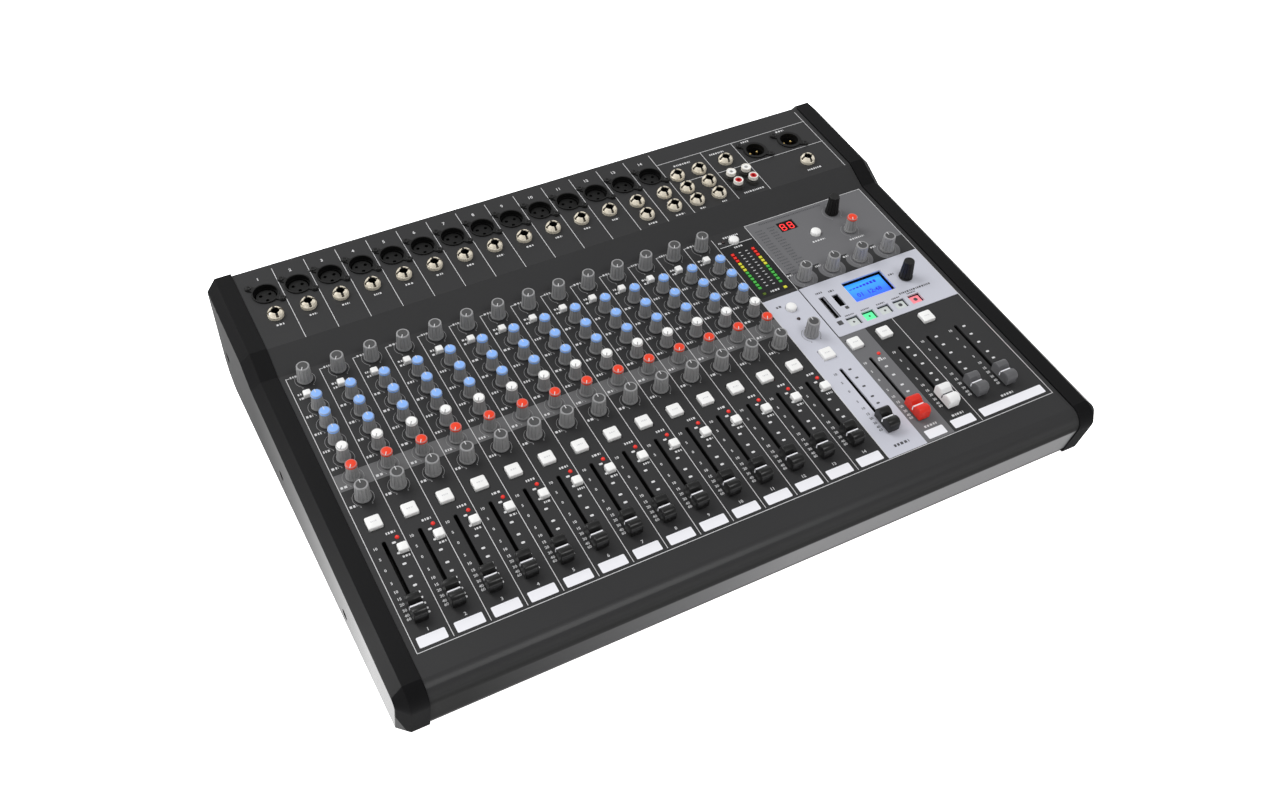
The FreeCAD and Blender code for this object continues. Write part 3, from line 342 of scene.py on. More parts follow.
MATERIALS = {
    "panel": panel_material(),
    "cheek": cheek_material(),
    "case": surface("case_paint", (0.020, 0.020, 0.021), 0.4, relief=0.05, specular=0.4),
    "silver": surface("silver_paint", SILVER, 0.36, 0.1, 0.03, relief=0.04),
    "screw": surface("screw_black", (0.012, 0.012, 0.012), 0.35, 0.3),
    "rubber": surface("foot_rubber", (0.014, 0.014, 0.014), 0.8, relief=0.2, specular=0.2),
    "socket": surface("socket_black", (0.006, 0.006, 0.006), 0.42, specular=0.25),
    "gold": surface("pin_gold", (0.80, 0.58, 0.22), 0.28, 1.0),
    "nut": surface("nut_cream", (0.84, 0.77, 0.63), 0.24, 0.25, 0.05, relief=0.02, specular=0.8),
    # the nut's cream darkened: painted shade inside the nut slots
    "nut_slot_shade": surface("nut_slot_shade", (0.055, 0.045, 0.032), 0.5, vary=0.2, specular=0.2),
    "shell": two_tone("phono_shell", (0.006, 0.006, 0.006), (0.82, 0.79, 0.73), 4.4, 0.3),
    "knob": surface("knob_grey", (0.28, 0.28, 0.283), 0.42, relief=0.08, specular=0.4),
    "knob_light": surface("knob_rim", (0.27, 0.27, 0.275), 0.45, relief=0.05),
    "knob_dark": surface("knob_recess", (0.070, 0.070, 0.071), 0.6, specular=0.2),
    "knob_black": surface("knob_black", (0.008, 0.008, 0.008), 0.45, specular=0.3),
    "blue": surface("cap_blue", (0.24, 0.44, 0.88), 0.4, vary=0.04, specular=0.3),
    "white": surface("cap_white", (0.86, 0.86, 0.85), 0.38, vary=0.02, relief=0.02),
    "red": surface("cap_red", (0.78, 0.050, 0.016), 0.38, vary=0.05, specular=0.3),
    "insert_red": surface("insert_red", (0.55, 0.018, 0.020), 0.35, vary=0.08, specular=0.4),
    "fader_black": surface("fader_black", (0.005, 0.005, 0.005), 0.30, specular=0.4),
    "fader_red": surface("fader_red", (0.66, 0.026, 0.014), 0.34, vary=0.05, specular=0.3),
    "fader_white": surface("fader_white", (0.80, 0.80, 0.80), 0.36, vary=0.02, relief=0.02),
    "fader_grey": surface("fader_grey", (0.10, 0.10, 0.105), 0.40, specular=0.35),
    "key": surface("key_clear", (0.62, 0.66, 0.64), 0.3, vary=0.04),
    "key_green": surface("key_green", (0.10, 0.75, 0.30), 0.3, glow=0.5),
    "key_red": surface("key_red", (0.85, 0.22, 0.26), 0.3, glow=0.3),
    "lamp_red": surface("lamp_red", (0.62, 0.02, 0.012), 0.25, glow=0.35),
    "lamp_yellow": surface("lamp_yellow", (0.52, 0.50, 0.03), 0.25, glow=0.3),
    "lamp_green": surface("lamp_green", (0.05, 0.36, 0.05), 0.25, glow=0.25),
    "lamp_olive": surface("lamp_olive", (0.08, 0.13, 0.01), 0.25),
    "lamp_dark": surface("lamp_dark", (0.02, 0.008, 0.008), 0.2),
    "window": surface("window_dark", (0.012, 0.004, 0.004), 0.12, specular=0.2),
    "digit": surface("digit_red", (0.95, 0.03, 0.03), 0.3, glow=1.2),
    "lcd": lcd_material(),
    "lcd_ink": surface("lcd_ink", (0.02, 0.03, 0.60), 0.3, glow=0.3),
    "dark": surface("inner_dark", (0.006, 0.006, 0.006), 0.6, specular=0.15),
    "board": surface("board_green", (0.01, 0.06, 0.025), 0.5),
    "ink": surface("ink_light", (0.62, 0.62, 0.63), 0.5, vary=0.05, relief=0.0),
    "ink_faint": surface("ink_faint", (0.27, 0.27, 0.275), 0.5, vary=0.05, relief=0.0),
    "ink_white": surface("ink_white", (0.82, 0.82, 0.86), 0.45, vary=0.02, relief=0.0),
    "ink_dark": surface("ink_dark", (0.06, 0.06, 0.065), 0.5, vary=0.1, relief=0.0),
}

NODE_MATERIALS = {
    "top_panel": "panel", "player_panel": "silver", "chassis": "case", "cheek_left": "cheek",
    "cheek_right": "cheek", "screws": "screw", "rubber_feet": "rubber", "xlr_sockets": "socket",
    "xlr_output_shells": "socket", "xlr_output_pins": "gold", "jack_sockets": "socket", "jack_nuts": "nut",
    "rca_shells": "shell", "rca_inserts": "white", "knobs_inputs_02_to_14": "knob", "knobs_sends": "knob",
    "indicators": "lamp_dark", "segment_display": "window", "lcd": "dark", "media_ports": "dark",
    "slide_pots": "dark", "rotary_pots": "dark", "switches": "dark", "circuit_boards": "board",
    "power_supply": "board", "power_inlet": "socket", "power_rocker": "fader_black",
    "buttons_square": "white", "buttons_small": "white", "keys_player": "key",
    "knob_fx_program": "knob_black", "knob_player": "knob_black",
}

for node_name, cad_object in frame["nodes"].items():
    default = "fader_black" if node_name.startswith("fader_") else "knob"
    cad_object.data.materials.clear()
    cad_object.data.materials.append(MATERIALS[NODE_MATERIALS.get(node_name, default)])


# ---- mesh helpers, all in the panel frame -----------------------------------------------------------
def piece(name, bm, body, material, angle=35.0):
    """Turns a bmesh drawn in the panel frame into an object that rides on a body."""
    bmesh.ops.transform(bm, matrix=PANEL, verts=bm.verts)
    mesh = bpy.data.meshes.new(name)
    bm.to_mesh(mesh)
    bm.free()
    mesh.materials.append(MATERIALS[material])
    if angle:
        mesh.shade_smooth()
        mesh.set_sharp_from_angle(angle=math.radians(angle))
    obj = bpy.data.objects.new(name, mesh)
    bpy.context.scene.collection.objects.link(obj)
    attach(obj, body)
    return obj


def prism(bm, outline, h0, h1):
    """Extrudes an (x, v) outline between two heights."""
    low = [bm.verts.new((x, v, h0)) for x, v in outline]
    high = [bm.verts.new((x, v, h1)) for x, v in outline]
    count = len(outline)
    faces = [bm.faces.new(high), bm.faces.new(low[::-1])]
    for i in range(count):
        j = (i + 1) % count
        faces.append(bm.faces.new((low[i], low[j], high[j], high[i])))
    return faces


def flat(bm, outline, h):
    bm.faces.new([bm.verts.new((x, v, h)) for x, v in outline])


def rect(x, v, width, length):
    return [(x - width / 2, v - length / 2), (x + width / 2, v - length / 2),
            (x + width / 2, v + length / 2), (x - width / 2, v + length / 2)]


def span(x0, v0, x1, v1):
    return [(x0, v0), (x1, v0), (x1, v1), (x0, v1)]


def rounded(x, v, width, length, radius, steps=4):
    points = []
    for cx, cv, start in ((1, -1, 270), (1, 1, 0), (-1, 1, 90), (-1, -1, 180)):
        ox, ov = x + cx * (width / 2 - radius), v + cv * (length / 2 - radius)
        for i in range(steps + 1):
            a = math.radians(start + 90 * i / steps)
            points.append((ox + radius * math.cos(a), ov + radius * math.sin(a)))
    return points


def circle(x, v, radius, count=32):
    return [(x + radius * math.cos(2 * math.pi * i / count), v + radius * math.sin(2 * math.pi * i / count))
            for i in range(count)]


def arc_band(bm, x, v, radius, start, end, width, h, steps=20):
    """A flat printed arc. Angles in degrees from +x, counter-clockwise."""
    rows = []
    for i in range(steps + 1):
        a = math.radians(start + (end - start) * i / steps)
        rows.append([bm.verts.new((x + r * math.cos(a), v + r * math.sin(a), h))
                     for r in (radius - width / 2, radius + width / 2)])
    for (a, b), (c, d) in zip(rows, rows[1:]):
        bm.faces.new((a, b, d, c))


def turn(bm, x, v, outline, count=32):
    """A surface of revolution from (radius, h) points; points on the axis close it."""
    rings = []
    for radius, h in outline:
        if radius == 0:
            rings.append([bm.verts.new((x, v, h))])
        else:
            rings.append([bm.verts.new((px, pv, h)) for px, pv in circle(x, v, radius, count)])
    for a, b in zip(rings, rings[1:]):
        for i in range(count):
            j = (i + 1) % count
            corners = [a[i % len(a)], a[j % len(a)], b[j % len(b)], b[i % len(b)]]
            bm.faces.new(list(dict.fromkeys(corners)))


def slab(bm, x, v, width, length, h0, h1, radius, edge):
    """A rounded block with a softened top edge."""
    outer = rounded(x, v, width, length, radius)
    rings = [(0.0, h0), (0.0, h1 - edge)]
    for k in range(1, 4):
        a = math.pi / 2 * k / 3
        rings.append((edge * (1 - math.cos(a)), h1 - edge + edge * math.sin(a)))
    rows = []
    for inset, h in rings:
        scale_x, scale_v = 1 - 2 * inset / width, 1 - 2 * inset / length
        rows.append([bm.verts.new((x + (px - x) * scale_x, v + (pv - v) * scale_v, h)) for px, pv in outer])
    for low, high in zip(rows, rows[1:]):
        for i in range(len(outer)):
            j = (i + 1) % len(outer)
            bm.faces.new((low[i], low[j], high[j], high[i]))
    bm.faces.new(rows[-1])
    bm.faces.new(rows[0][::-1])


def greek(bm, x, v, width, height, h):
    """A few small marks in place of a printed word."""
    at = x
    while at < x + width:
        step = RNG.uniform(0.5, 1.3) * height
        flat(bm, span(at, v - height / 2, min(at + step * 0.8, x + width), v + height / 2), h)
        at += step + 0.25 * height


def number(text, size):
    """The outline of a printed number as mesh data, centred, in millimetres."""
    curve = bpy.data.curves.new("number", "FONT")
    curve.body, curve.size = text, size
    curve.align_x, curve.align_y = "CENTER", "CENTER"
    curve.resolution_u = 2
    curve.offset = 0.07 * size / 3
    holder = bpy.data.objects.new("number", curve)
    mesh = bpy.data.meshes.new_from_object(holder)
    bpy.data.objects.remove(holder)
    return mesh


def stamp(bm, mesh, x, v, h):
    """Adds a printed number to bm at (x, v)."""
    first = len(bm.verts)
    bm.from_mesh(mesh)
    bm.verts.ensure_lookup_table()
    bmesh.ops.translate(bm, verts=bm.verts[first:], vec=(x, v, h))


# ---- printed marks ----------------------------------------------------------------------------------
LINE = 0.5
SCALE_V = (86.6, 77.2, 67.6, 56.4, 48.9, 42.9, 38.2, 33.3, 29.1, 26.0)
SCALE_TEXT = ("10", "5", "0", "5", "10", "15", "20", "30", "40", "60")
DIGITS = {text: number(text, 3.1) for text in set(SCALE_TEXT)}


def knob_arc(bm, x, v, radius=7.6):
    arc_band(bm, x, v, radius, -58, 62, 0.28, INK)
    arc_band(bm, x, v, radius, 118, 238, 0.28, INK)
    for a in (-60, 90, 240):
        c, s = math.cos(math.radians(a)), math.sin(math.radians(a))
        flat(bm, rect(x + (radius + 0.8) * c, v + (radius + 0.8) * s, 0.8, 0.8), INK)


def fader_scale(bm, x):
    for v, text in zip(SCALE_V, SCALE_TEXT):
        stamp(bm, DIGITS[text], x - 6.9, v, INK)
        flat(bm, rounded(x + 6.4, v, 2.8, 1.7, 0.6, 2), INK)


def strip_print(light, faint, white):
    """Marks of the input strips: dividers, knob arcs, fader scales, numbers and write-on labels."""
    for k, x in enumerate(STRIPS):
        edge = x - PITCH / 2
        if k:
            flat(light, rect(edge, 130.0, LINE, 256.0), INK)
        flat(light, rect(edge + 1.2, 258.2, 3.0, LINE), INK)
        greek(light, edge + 3.2, 258.6, 6.2, 1.9, INK)
        for name, v in KNOB_V.items():
            knob_arc(faint, x, v)
            if name != "gain":
                greek(light, edge + 1.6, v - 6.3 + (1.6 if name == "pan" else 0), 5.0, 2.1, INK)
        for dv in (-2.2, 2.2):
            greek(light, edge + 3.0, FILTER[1] + dv, 3.4, 1.9, INK)
        greek(light, x + 2.6, 95.4, 6.6, 1.9, INK)
        greek(light, x + 6.2, 73.2, 5.2, 1.7, INK)
        fader_scale(light, x + FADER_DX)
        stamp(light, number(str(k + 1), 3.6), x, 14.2, INK)
        flat(white, rounded(x, 6.9, 19.8, 8.3, 0.9), INK)
    flat(light, rect(LEFT + STRIP_END, 130.0, LINE, 256.0), INK)


def frame_print(light):
    """The outer line and the lines of the master section."""
    flat(light, rect(LEFT, 129.4, LINE, 258.8), INK)
    flat(light, rect(LEFT + PRINT_W / 2, 0.0, PRINT_W + LINE, LINE), INK)
    flat(light, rect(LEFT + PRINT_W, 130.8, LINE, 261.6), INK)
    flat(light, rect(LEFT + (SILVER_END + PRINT_W) / 2, 261.5, PRINT_W - SILVER_END, LINE), INK)
    flat(light, rect(LEFT + SILVER_END, 219.5, LINE, 84.0), INK)
    flat(light, rect(LEFT + LAST_LINE, 59.8, LINE, 117.6), INK)
    flat(light, span(LEFT + STRIP_END + 2.0, 245.8, LEFT + SILVER_END - 2.0, 246.4), INK)
    greek(light, LEFT + 374.0, 256.0, 14.0, 1.9, INK)
    greek(light, LEFT + 367.0, 251.6, 3.0, 1.8, INK)
    greek(light, LEFT + 377.0, 242.4, 8.0, 1.8, INK)


def master_print(light, faint, dark, white):
    """Marks of the master faders, the meter, the effects panel and the player's plate."""
    for name, x in MASTERS.items():
        fader_scale(dark if name == "return" else light, LEFT + x)
    for x, width in ((409.8, 16.5), (435.0, 19.6), (481.0, 58.5)):
        flat(white, rounded(LEFT + x, 7.0, width, 8.0, 0.8), INK)
        greek(light, LEFT + x - 5.0, 14.2, 11.0, 1.9, INK)
    greek(dark, LEFT + 374.0, 9.0, 13.0, 2.4, INK)
    greek(dark, LEFT + 371.0, 167.0, 5.0, 2.0, INK)
    knob_arc(dark, LEFT + RETURN_KNOB[0], RETURN_KNOB[1])
    for x in SENDS_X:
        knob_arc(faint, LEFT + x, SENDS_V)
        greek(light, LEFT + x - 11.5, SENDS_V + 7.0, 5.0, 1.7, INK)
    for i in range(12):
        flat(light, rect(LEFT + 378.0, METER_V + METER_STEP * i, 2.2, 0.7), INK)
        flat(light, rect(LEFT + 384.3, METER_V + METER_STEP * i, 2.2, 0.7), INK)
    greek(light, LEFT + 377.0, METER_POWER_V, 8.0, 1.9, INK)
    greek(light, LEFT + 412.5, 84.8, 6.5, 1.8, INK)
    for i in range(17):
        greek(dark, LEFT + 402.5, 251.0 - 3.5 * i, RNG.uniform(6.5, 8.0), 1.3, INK)
        greek(dark, LEFT + 414.0, 251.0 - 3.5 * i, RNG.uniform(5.5, 8.0), 1.3, INK)
    greek(dark, LEFT + 410.0, 258.0, 62.0, 1.5, INK)
    greek(light, LEFT + 440.0, 220.5, 12.0, 1.7, INK)
    greek(light, LEFT + 470.0, 209.8, 14.0, 1.7, INK)
    knob_arc(faint, LEFT + FX_LEVEL[0], FX_LEVEL[1])
    knob_arc(faint, LEFT + FX_KNOB[0], FX_KNOB[1], 8.2)
    words = ((408.0, 167.0, 6.0), (419.0, 165.0, 5.0), (474.5, 160.5, 5.0), (470.0, 138.5, 30.0))
    for x, v, width in words:
        greek(dark, LEFT + x, v, width, 1.8, INK)
    for side in (-1, 1):
        flat(dark, rect(LEFT + CARD[0] + side * (CARD[2] / 2 + 0.5), CARD[1], 0.8, CARD[3]), INK)
    for x, v, size in ((408.4, 131.5, 4.6), (423.0, 143.8, 3.2)):
        flat(dark, rounded(LEFT + x, v, size, size, 0.5), INK)
    for x in KEYS_X:
        greek(dark, LEFT + x - 4.0, KEYS_V + 7.0, 8.0, 1.3, INK)


def rear_print(light):
    """Lines, strip numbers and small marks of the connector field."""
    h = REAR_H + INK

    def vertical(x, s0=0.0, s1=82.7):
        flat(light, rect(LEFT + x, REAR_V + (s0 + s1) / 2, LINE, s1 - s0), h)

    def across(x0, x1, s):
        flat(light, span(LEFT + x0, REAR_V + s - LINE / 2, LEFT + x1, REAR_V + s + LINE / 2), h)

    for k in range(1, CHANNELS):
        vertical(PITCH * k)
    for x, top in ((STRIP_END - 1.0, 82.7), (406.1, 67.6), (437.3, 67.6), (PRINT_W - 0.5, 82.7)):
        vertical(x, 0.0, top)
    across(STRIP_END, PRINT_W, 67.6)
    across(406.1, PRINT_W, 36.9)
    across(371.0, 396.0, 38.6)
    for k, x in enumerate(STRIPS):
        stamp(light, number(str(k + 1), 4.4), x - 0.5, REAR_V + 75.0, h)
        greek(light, x - 3.0, REAR_V + 20.8, 6.0, 1.8, h)
        if k >= MONO:
            greek(light, x - 4.0, REAR_V + 3.6, 8.0, 1.8, h)
    for x, s in AUX_JACKS:
        greek(light, LEFT + x - 2.4, REAR_V + s - 9.6, 4.8, 1.7, h)
    for x, s, width in ((412.0, 61.0, 14.0), (414.0, 4.6, 20.0), (480.0, 7.6, 14.0), (446.0, 64.4, 8.0),
                        (482.0, 64.4, 8.0), (376.0, 60.5, 16.0)):
        greek(light, LEFT + x, REAR_V + s, width, 1.9, h)


light_ink, faint_ink, dark_ink, white_ink = (bmesh.new() for _ in range(4))
strip_print(light_ink, faint_ink, white_ink)
frame_print(light_ink)
master_print(light_ink, faint_ink, dark_ink, white_ink)
rear_print(light_ink)
piece("print_faint", faint_ink, "console", "ink_faint", angle=0)
piece("print_light", light_ink, "console", "ink", angle=0)
piece("print_dark", dark_ink, "console", "ink_dark", angle=0)
piece("write_on_labels", white_ink, "console", "ink_white", angle=0)


# ---- knobs ------------------------------------------------------------------------------------------
CAP_COLOURS = {"high": "blue", "mid": "blue", "low": "blue", "aux": "white", "fx": "red"}
AT_MINIMUM = {"gain", "aux", "fx"}


def pointer(bm, x, v, degrees, r0, r1, width, h):
    """A pointer line from r0 to r1. 90 degrees points up the slope."""
    a = math.radians(degrees)
    c, s = math.cos(a), math.sin(a)
    outline = [(r0, -width / 2), (r1, -width / 2), (r1, width / 2), (r0, width / 2)]
    prism(bm, [(x + r * c - w * s, v + r * s + w * c) for r, w in outline], h - 0.3, h)


def cap_disc(bm, x, v, top=KNOB_TOP):
    outline = ((3.9, -1.85), (4.25, -1.85), (4.28, -0.7), (4.0, -0.1), (3.3, 0.06), (0, 0.1))
    turn(bm, x, v, [(radius, top + dh) for radius, dh in outline])


def grey_top(rim, hollow, x, v, top=KNOB_TOP):
    outline = ((4.94, -0.8), (4.94, -0.3), (4.6, 0.1), (4.1, 0.12), (3.7, 0.03))
    turn(rim, x, v, [(radius, top + dh) for radius, dh in outline])
    turn(hollow, x, v, [(3.75, top + 0.04), (0, top + 0.02)])


def rest_angle(name):
    return 240 if name in AT_MINIMUM else 90


def dress_knobs(label, body, places):
    """Caps, tops and pointers for a set of (x, v, kind) that ride on one body."""
    meshes = {key: bmesh.new() for key in ("blue", "white", "red", "rim", "hollow", "line")}
    for x, v, kind in places:
        angle = rest_angle(kind)
        if kind in CAP_COLOURS:
            cap_disc(meshes[CAP_COLOURS[kind]], x, v)
            line = "rim" if CAP_COLOURS[kind] == "white" else "line"
            pointer(meshes[line], x, v, angle, 0.8, 4.0, 0.6, KNOB_TOP + 0.16)
        else:
            grey_top(meshes["rim"], meshes["hollow"], x, v)
            pointer(meshes["line"], x, v, angle, 1.4, 4.6, 0.6, KNOB_TOP + 0.2)
    looks = {"blue": "blue", "white": "white", "red": "red", "rim": "knob_light", "hollow": "knob_dark",
             "line": "ink"}
    for key, bm in meshes.items():
        if bm.verts:
            piece(f"{label}_{key}", bm, body, looks[key])
        else:
            bm.free()


for kind, v in KNOB_V.items():
    dress_knobs(f"knob_{kind}_01_top", f"knob_{kind}_01", [(STRIPS[0], v, kind)])
fixed_knobs = [(x, v, kind) for x in STRIPS[1:] for kind, v in KNOB_V.items()]
fixed_knobs += [(LEFT + x, SENDS_V, "send") for x in SENDS_X]
dress_knobs("knob_tops", "console", fixed_knobs)
dress_knobs("knob_return_top", "knob_return", [(LEFT + RETURN_KNOB[0], RETURN_KNOB[1], "send")])
dress_knobs("knob_fx_level_top", "knob_fx_level", [(LEFT + FX_LEVEL[0], FX_LEVEL[1], "fx")])


# ---- faders -----------------------------------------------------------------------------------------
CAP_W = 9.6
CAP_FOOT = 2.0
CAP_HALF = ((9.5, 2.0), (9.5, 8.5), (8.9, 9.5), (7.6, 10.9), (6.5, 11.4), (4.6, 11.2), (2.8, 10.6),
            (1.6, 9.0), (1.0, 8.0))
VALLEY = 8.0


def fader_profile():
    """Side outline of the cap as (v, h) from its centre: two lobes with a groove between."""
    return [(-v, h) for v, h in CAP_HALF] + [(v, h) for v, h in reversed(CAP_HALF)]


def fader(name, x, look, slot):
    bm = bmesh.new()
    profile = fader_profile()
    sides = [[bm.verts.new((x + dx, FADER_V + dv, h)) for dv, h in profile]
             for dx in (-CAP_W / 2, CAP_W / 2)]
    count = len(profile)
    caps = [bm.faces.new(sides[0]), bm.faces.new(sides[1][::-1])]
    for i in range(count):
        j = (i + 1) % count
        bm.faces.new((sides[0][j], sides[0][i], sides[1][i], sides[1][j]))
    rim = [edge for face in caps for edge in face.edges if max(v.co.z for v in edge.verts) > CAP_FOOT + 0.1]
    bmesh.ops.bevel(bm, geom=rim, offset=0.45, segments=3, profile=0.5, affect="EDGES", clamp_overlap=True)
    bmesh.ops.recalc_face_normals(bm, faces=bm.faces)
    prism(bm, rect(x, FADER_V, 1.2, 6.0), -8.6, CAP_FOOT)
    body = f"fader_{name}"
    obj = piece(f"cap_{name}", bm, body, look, angle=30)
    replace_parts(obj, body)
    line = bmesh.new()
    prism(line, rect(x, FADER_V, CAP_W - 0.5, 1.1), VALLEY - 0.3, VALLEY + 0.08)
    for side in (-1, 1):
        prism(line, rect(x + side * (CAP_W / 2 - 0.12), FADER_V, 0.34, 1.1), VALLEY - 3.4, VALLEY - 0.25)
    if name == "aux":
        piece(f"cap_line_{name}", line, body, "ink_dark", angle=0)
    else:
        piece(f"cap_line_{name}", line, body, "ink_white", angle=0)


for k, x in enumerate(STRIPS):
    fader(f"input_{k + 1:02d}", x + FADER_DX, "fader_black", "fader_black")
MASTER_LOOKS = {"return": ("fader_black", "fader_black"), "fx": ("fader_red", "fader_red"),
                "aux": ("fader_white", "fader_white"),
                "main_left": ("fader_grey", "fader_grey"), "main_right": ("fader_grey", "fader_grey")}
for name, x in MASTERS.items():
    fader(name, LEFT + x, *MASTER_LOOKS[name])


# ---- buttons ----------------------------------------------------------------------------------------
BUTTON_TOP = 2.6
SQUARES = [(x + FADER_DX, MUTE_V) for x in STRIPS] + [(LEFT + x, MUTE_V) for x in MASTER_SQUARES]
SMALLS = [(x + LISTEN[0], LISTEN[1], LISTEN_SIZE) for x in STRIPS]
SMALLS += [(x + FILTER[0], FILTER[1], FILTER_SIZE) for x in STRIPS]

squares, smalls, marks = bmesh.new(), bmesh.new(), bmesh.new()
for x, v in SQUARES:
    slab(squares, x, v, 10.6, 10.6, -2.4, BUTTON_TOP, 1.2, 0.9)
    greek(marks, x - 2.2, v, 4.6, 1.2, BUTTON_TOP + 0.04)
for x, v, size in SMALLS:
    slab(smalls, x, v, size, size, -2.4, BUTTON_TOP + 0.8, 1.0, 0.9)
for x, v in ROUND_BUTTONS:
    turn(smalls, LEFT + x, v, [(4.4, -2.4), (4.4, 1.9), (4.1, 2.6), (3.4, 3.1), (0, 3.3)])
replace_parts(piece("square_buttons", squares, "buttons_square", "white"), "buttons_square")
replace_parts(piece("small_buttons", smalls, "buttons_small", "white"), "buttons_small")
piece("square_button_marks", marks, "buttons_square", "ink", angle=0)

KEY_SIZE = (9.6, 8.2)
KEY_H = (-4.6, -1.8)    # underside and face, sunk in the player's plate
KEY_LOOKS = ("key", "key_green", "key", "key", "key_red")
icons = bmesh.new()
for i, (x, look) in enumerate(zip(KEYS_X, KEY_LOOKS)):
    bm = bmesh.new()
    slab(bm, LEFT + x, KEYS_V, *KEY_SIZE, *KEY_H, 0.6, 0.4)
    obj = piece(f"player_key_{i + 1}", bm, "keys_player", look)
    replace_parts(obj, "keys_player")
    flat(icons, circle(LEFT + x + 0.4, KEYS_V + 0.3, 1.8 if i > 2 else 1.0, 12), KEY_H[1] + 0.04)
piece("player_key_marks", icons, "keys_player", "ink_dark", angle=0)


# ---- lamps and displays -------------------------------------------------------------------------------
def lamp(bm, x, v):
    turn(bm, x, v, [(1.55, -0.5), (1.55, 0.1), (1.2, 0.8), (0.6, 1.15), (0, 1.25)], 16)


lamps = {key: bmesh.new() for key in ("lamp_red", "lamp_yellow", "lamp_green", "lamp_olive", "lamp_dark")}
for x in STRIPS:
    lamp(lamps["lamp_red"], x + PEAK[0], PEAK[1])
lamp(lamps["lamp_red"], LEFT + FX_LAMP[0], FX_LAMP[1])
for x, v in DARK_LAMPS:
    lamp(lamps["lamp_dark"], LEFT + x, v)
for x in METER_X:
    for i in range(12):
        colour = "lamp_red" if i > 8 else "lamp_yellow" if i > 5 else "lamp_green"
        prism(lamps[colour], rect(LEFT + x, METER_V + METER_STEP * i, 2.6, 2.4), -0.7, 0.1)
    power = "lamp_yellow" if x == METER_X[1] else "lamp_olive"
    prism(lamps[power], rect(LEFT + x, METER_POWER_V, 2.6, 2.4), -0.7, 0.1)
for key, bm in lamps.items():
    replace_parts(piece(f"lens_{key[5:]}", bm, "console", key), "indicators")

DIGIT_DX = 3.6
DIGIT_H = -0.7
BAR = (3.0, 0.9)        # length and width of one bar of a digit
BARS_LEVEL = ((0, 3.6), (0, -3.6), (0, 0))
BARS_UPRIGHT = ((1.9, 1.8), (1.9, -1.8), (-1.9, -1.8), (-1.9, 1.8))


def seven_segment(bm, x, v, h):
    """The figure 8, with all seven bars lit."""
    for dx, dv in BARS_LEVEL:
        flat(bm, rect(x + dx, v + dv, BAR[0], BAR[1]), h)
    for dx, dv in BARS_UPRIGHT:
        flat(bm, rect(x + dx, v + dv, BAR[1], BAR[0]), h)


digits = bmesh.new()
for side in (-1, 1):
    seven_segment(digits, LEFT + SEGMENT[0] + side * DIGIT_DX, SEGMENT[1], DIGIT_H)
piece("display_digits", digits, "console", "digit", angle=0)

lcd_ink, lcd_glass = bmesh.new(), bmesh.new()
lcd_x, lcd_v = LEFT + (LCD[0] + LCD[2]) / 2, (LCD[1] + LCD[3]) / 2
glass = span(LEFT + LCD[0] - 1.0, LCD[1] - 1.5, LEFT + LCD[2] - 0.4, LCD[3] - 0.4)
prism(lcd_glass, glass, *LCD_GLASS)
piece("lcd_glass", lcd_glass, "console", "lcd", angle=0)
stamp(lcd_ink, number("01  12:48", 6.2), lcd_x + 0.5, lcd_v - 2.5, LCD_INK)
for i in range(8):
    bar_x, bar_v = lcd_x - 14.0 + LCD_BAR_STEP * i, lcd_v + 5.0
    flat(lcd_ink, span(bar_x, bar_v, bar_x + 2.4, bar_v + 1.0 + 0.3 * i), LCD_INK)
piece("lcd_digits", lcd_ink, "console", "lcd_ink", angle=0)


# ---- sockets ------------------------------------------------------------------------------------------
RCA_HOLE = 1.55
RCA_FACE = REAR_H + 7.34
HOLE_FLOOR = REAR_H - 1.9
NUT_SLOTS = (4.85, 2.6, 1.9, REAR_H + 3.22, REAR_H + 4.2)   # middle radius, length, width, floor and top

phono_red, nut_slot_shades = bmesh.new(), bmesh.new()
for x in RCA_X:
    outline = [(2.9, RCA_FACE), (RCA_HOLE, RCA_FACE), (RCA_HOLE, HOLE_FLOOR), (0, HOLE_FLOOR)]
    turn(phono_red, LEFT + x, REAR_V + RCA_S[1], outline)
# dark blocks set in the slots of each jack nut: painted shade in the slots
for x, s in JACKS:
    radius, length, width, low, high = NUT_SLOTS
    for side in (-1, 1):
        prism(nut_slot_shades, rect(x + side * radius, REAR_V + s, length, width), low, high)
        prism(nut_slot_shades, rect(x, REAR_V + s + side * radius, width, length), low, high)
piece("phono_red", phono_red, "console", "insert_red")
piece("nut_slot_shades", nut_slot_shades, "console", "nut_slot_shade", angle=0)


# ---- stage, light and camera --------------------------------------------------------------------------
def stage_floor():
    bm = bmesh.new()
    bmesh.ops.create_grid(bm, x_segments=1, y_segments=1, size=30.0)
    mesh = bpy.data.meshes.new("floor")
    bm.to_mesh(mesh)
    bm.free()
    n = Nodes("floor_white")
    n.link(n.mix(n.noise(0.6), (0.90, 0.90, 0.90), (0.94, 0.94, 0.94)), n.shader.inputs["Base Color"])
    n.shader.inputs["Roughness"].default_value = 0.7
    n.shader.inputs["Emission Color"].default_value = (1.0, 1.0, 1.0, 1.0)
    n.shader.inputs["Emission Strength"].default_value = 1.2
    mesh.materials.append(n.material)
    obj = bpy.data.objects.new("floor", mesh)
    bpy.context.scene.collection.objects.link(obj)


def area_light(name, place, target, size, power):
    light = bpy.data.lights.new(name, "AREA")
    light.shape, light.size, light.energy = "DISK", size, power
    obj = bpy.data.objects.new(name, light)
    obj.location = place
    obj.rotation_euler = (Vector(target) - Vector(place)).to_track_quat("-Z", "Y").to_euler()
    bpy.context.scene.collection.objects.link(obj)


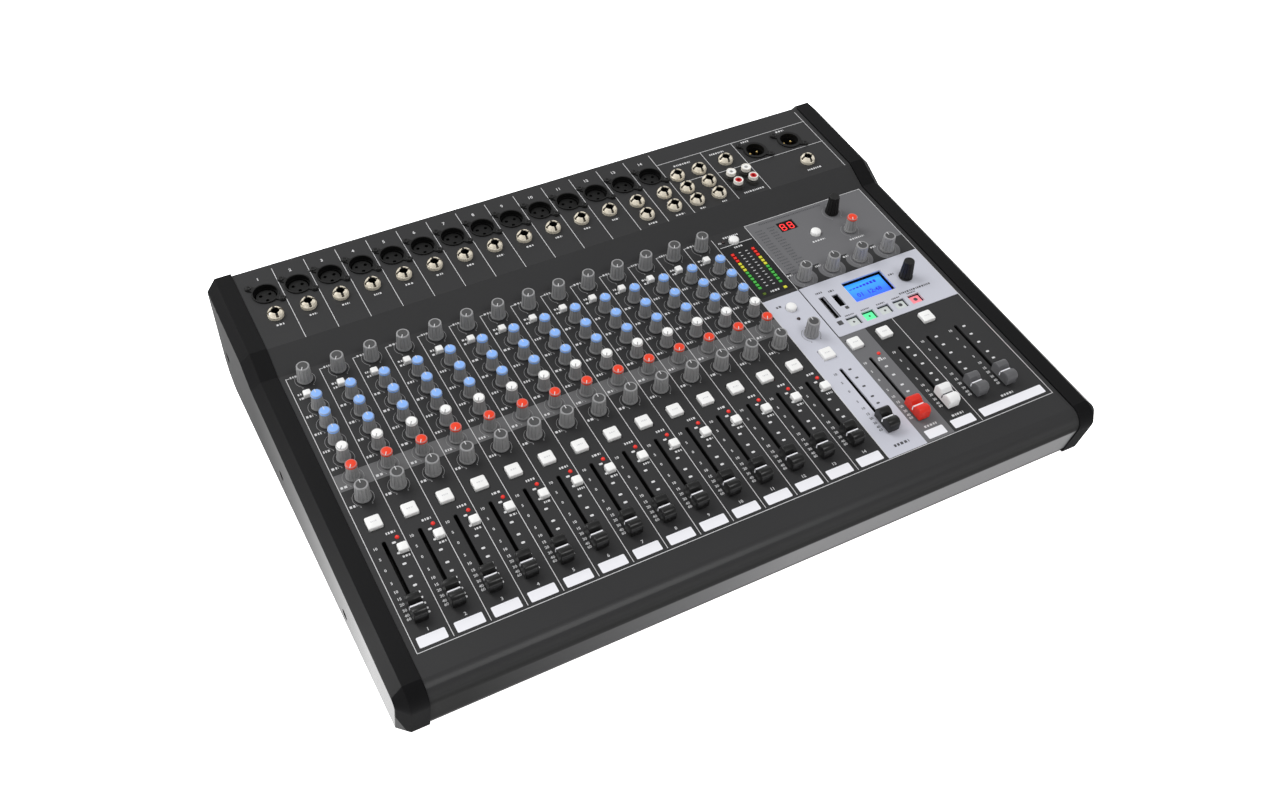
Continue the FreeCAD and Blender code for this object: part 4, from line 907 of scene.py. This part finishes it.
def world_light(horizon, zenith, front):
    """A white room, brightest around the horizon and dim towards the front."""
    world = bpy.data.worlds.new("studio")
    world.use_nodes = True
    tree = world.node_tree
    direction = tree.nodes.new("ShaderNodeTexCoord")
    split = tree.nodes.new("ShaderNodeSeparateXYZ")
    tree.links.new(direction.outputs["Generated"], split.inputs[0])
    ranges = []
    bands = (("Z", 0.1, 0.7, horizon, zenith), ("Y", -0.9, -0.1, front, 1.0))
    for axis, low, high, at_low, at_high in bands:
        ramp = tree.nodes.new("ShaderNodeMapRange")
        for key, value in (("From Min", low), ("From Max", high), ("To Min", at_low), ("To Max", at_high)):
            ramp.inputs[key].default_value = value
        tree.links.new(split.outputs[axis], ramp.inputs["Value"])
        ranges.append(ramp.outputs["Result"])
    product = tree.nodes.new("ShaderNodeMath")
    product.operation = "MULTIPLY"
    for source, target in zip(ranges, product.inputs):
        tree.links.new(source, target)
    tree.links.new(product.outputs[0], tree.nodes["Background"].inputs["Strength"])
    tree.nodes["Background"].inputs["Color"].default_value = (1.0, 1.0, 1.0, 1.0)
    bpy.context.scene.world = world


def camera():
    """Above the front left corner, looking down across the console."""
    right = Vector((0.8851, -0.4654, -0.0074)).normalized()
    forward = Vector((0.3378, 0.6532, -0.6776)).normalized()
    up = right.cross(forward)
    data = bpy.data.cameras.new("camera")
    data.lens = 39.28
    data.sensor_width = 36.0
    data.shift_x, data.shift_y = 0.0047, -0.0078
    data.clip_start = 0.05
    obj = bpy.data.objects.new("camera", data)
    matrix = Matrix((right, up, -forward)).transposed().to_4x4()
    matrix.translation = Vector((-0.381, -0.7027, 0.762))
    obj.matrix_world = matrix
    bpy.context.scene.collection.objects.link(obj)
    bpy.context.scene.camera = obj


stage_floor()
world_light(1.25, 0.45, 0.25)
area_light("key", (-0.9, 0.9, 1.9), (0, 0, 0), 1.4, 24)
area_light("fill", (0.3, -0.9, 1.55), (0, 0, 0), 0.9, 10)
area_light("edge", (-2.6, 1.3, 0.45), (-0.28, -0.1, 0.06), 0.7, 15)
bpy.context.scene.view_settings.view_transform = "Standard"
camera()
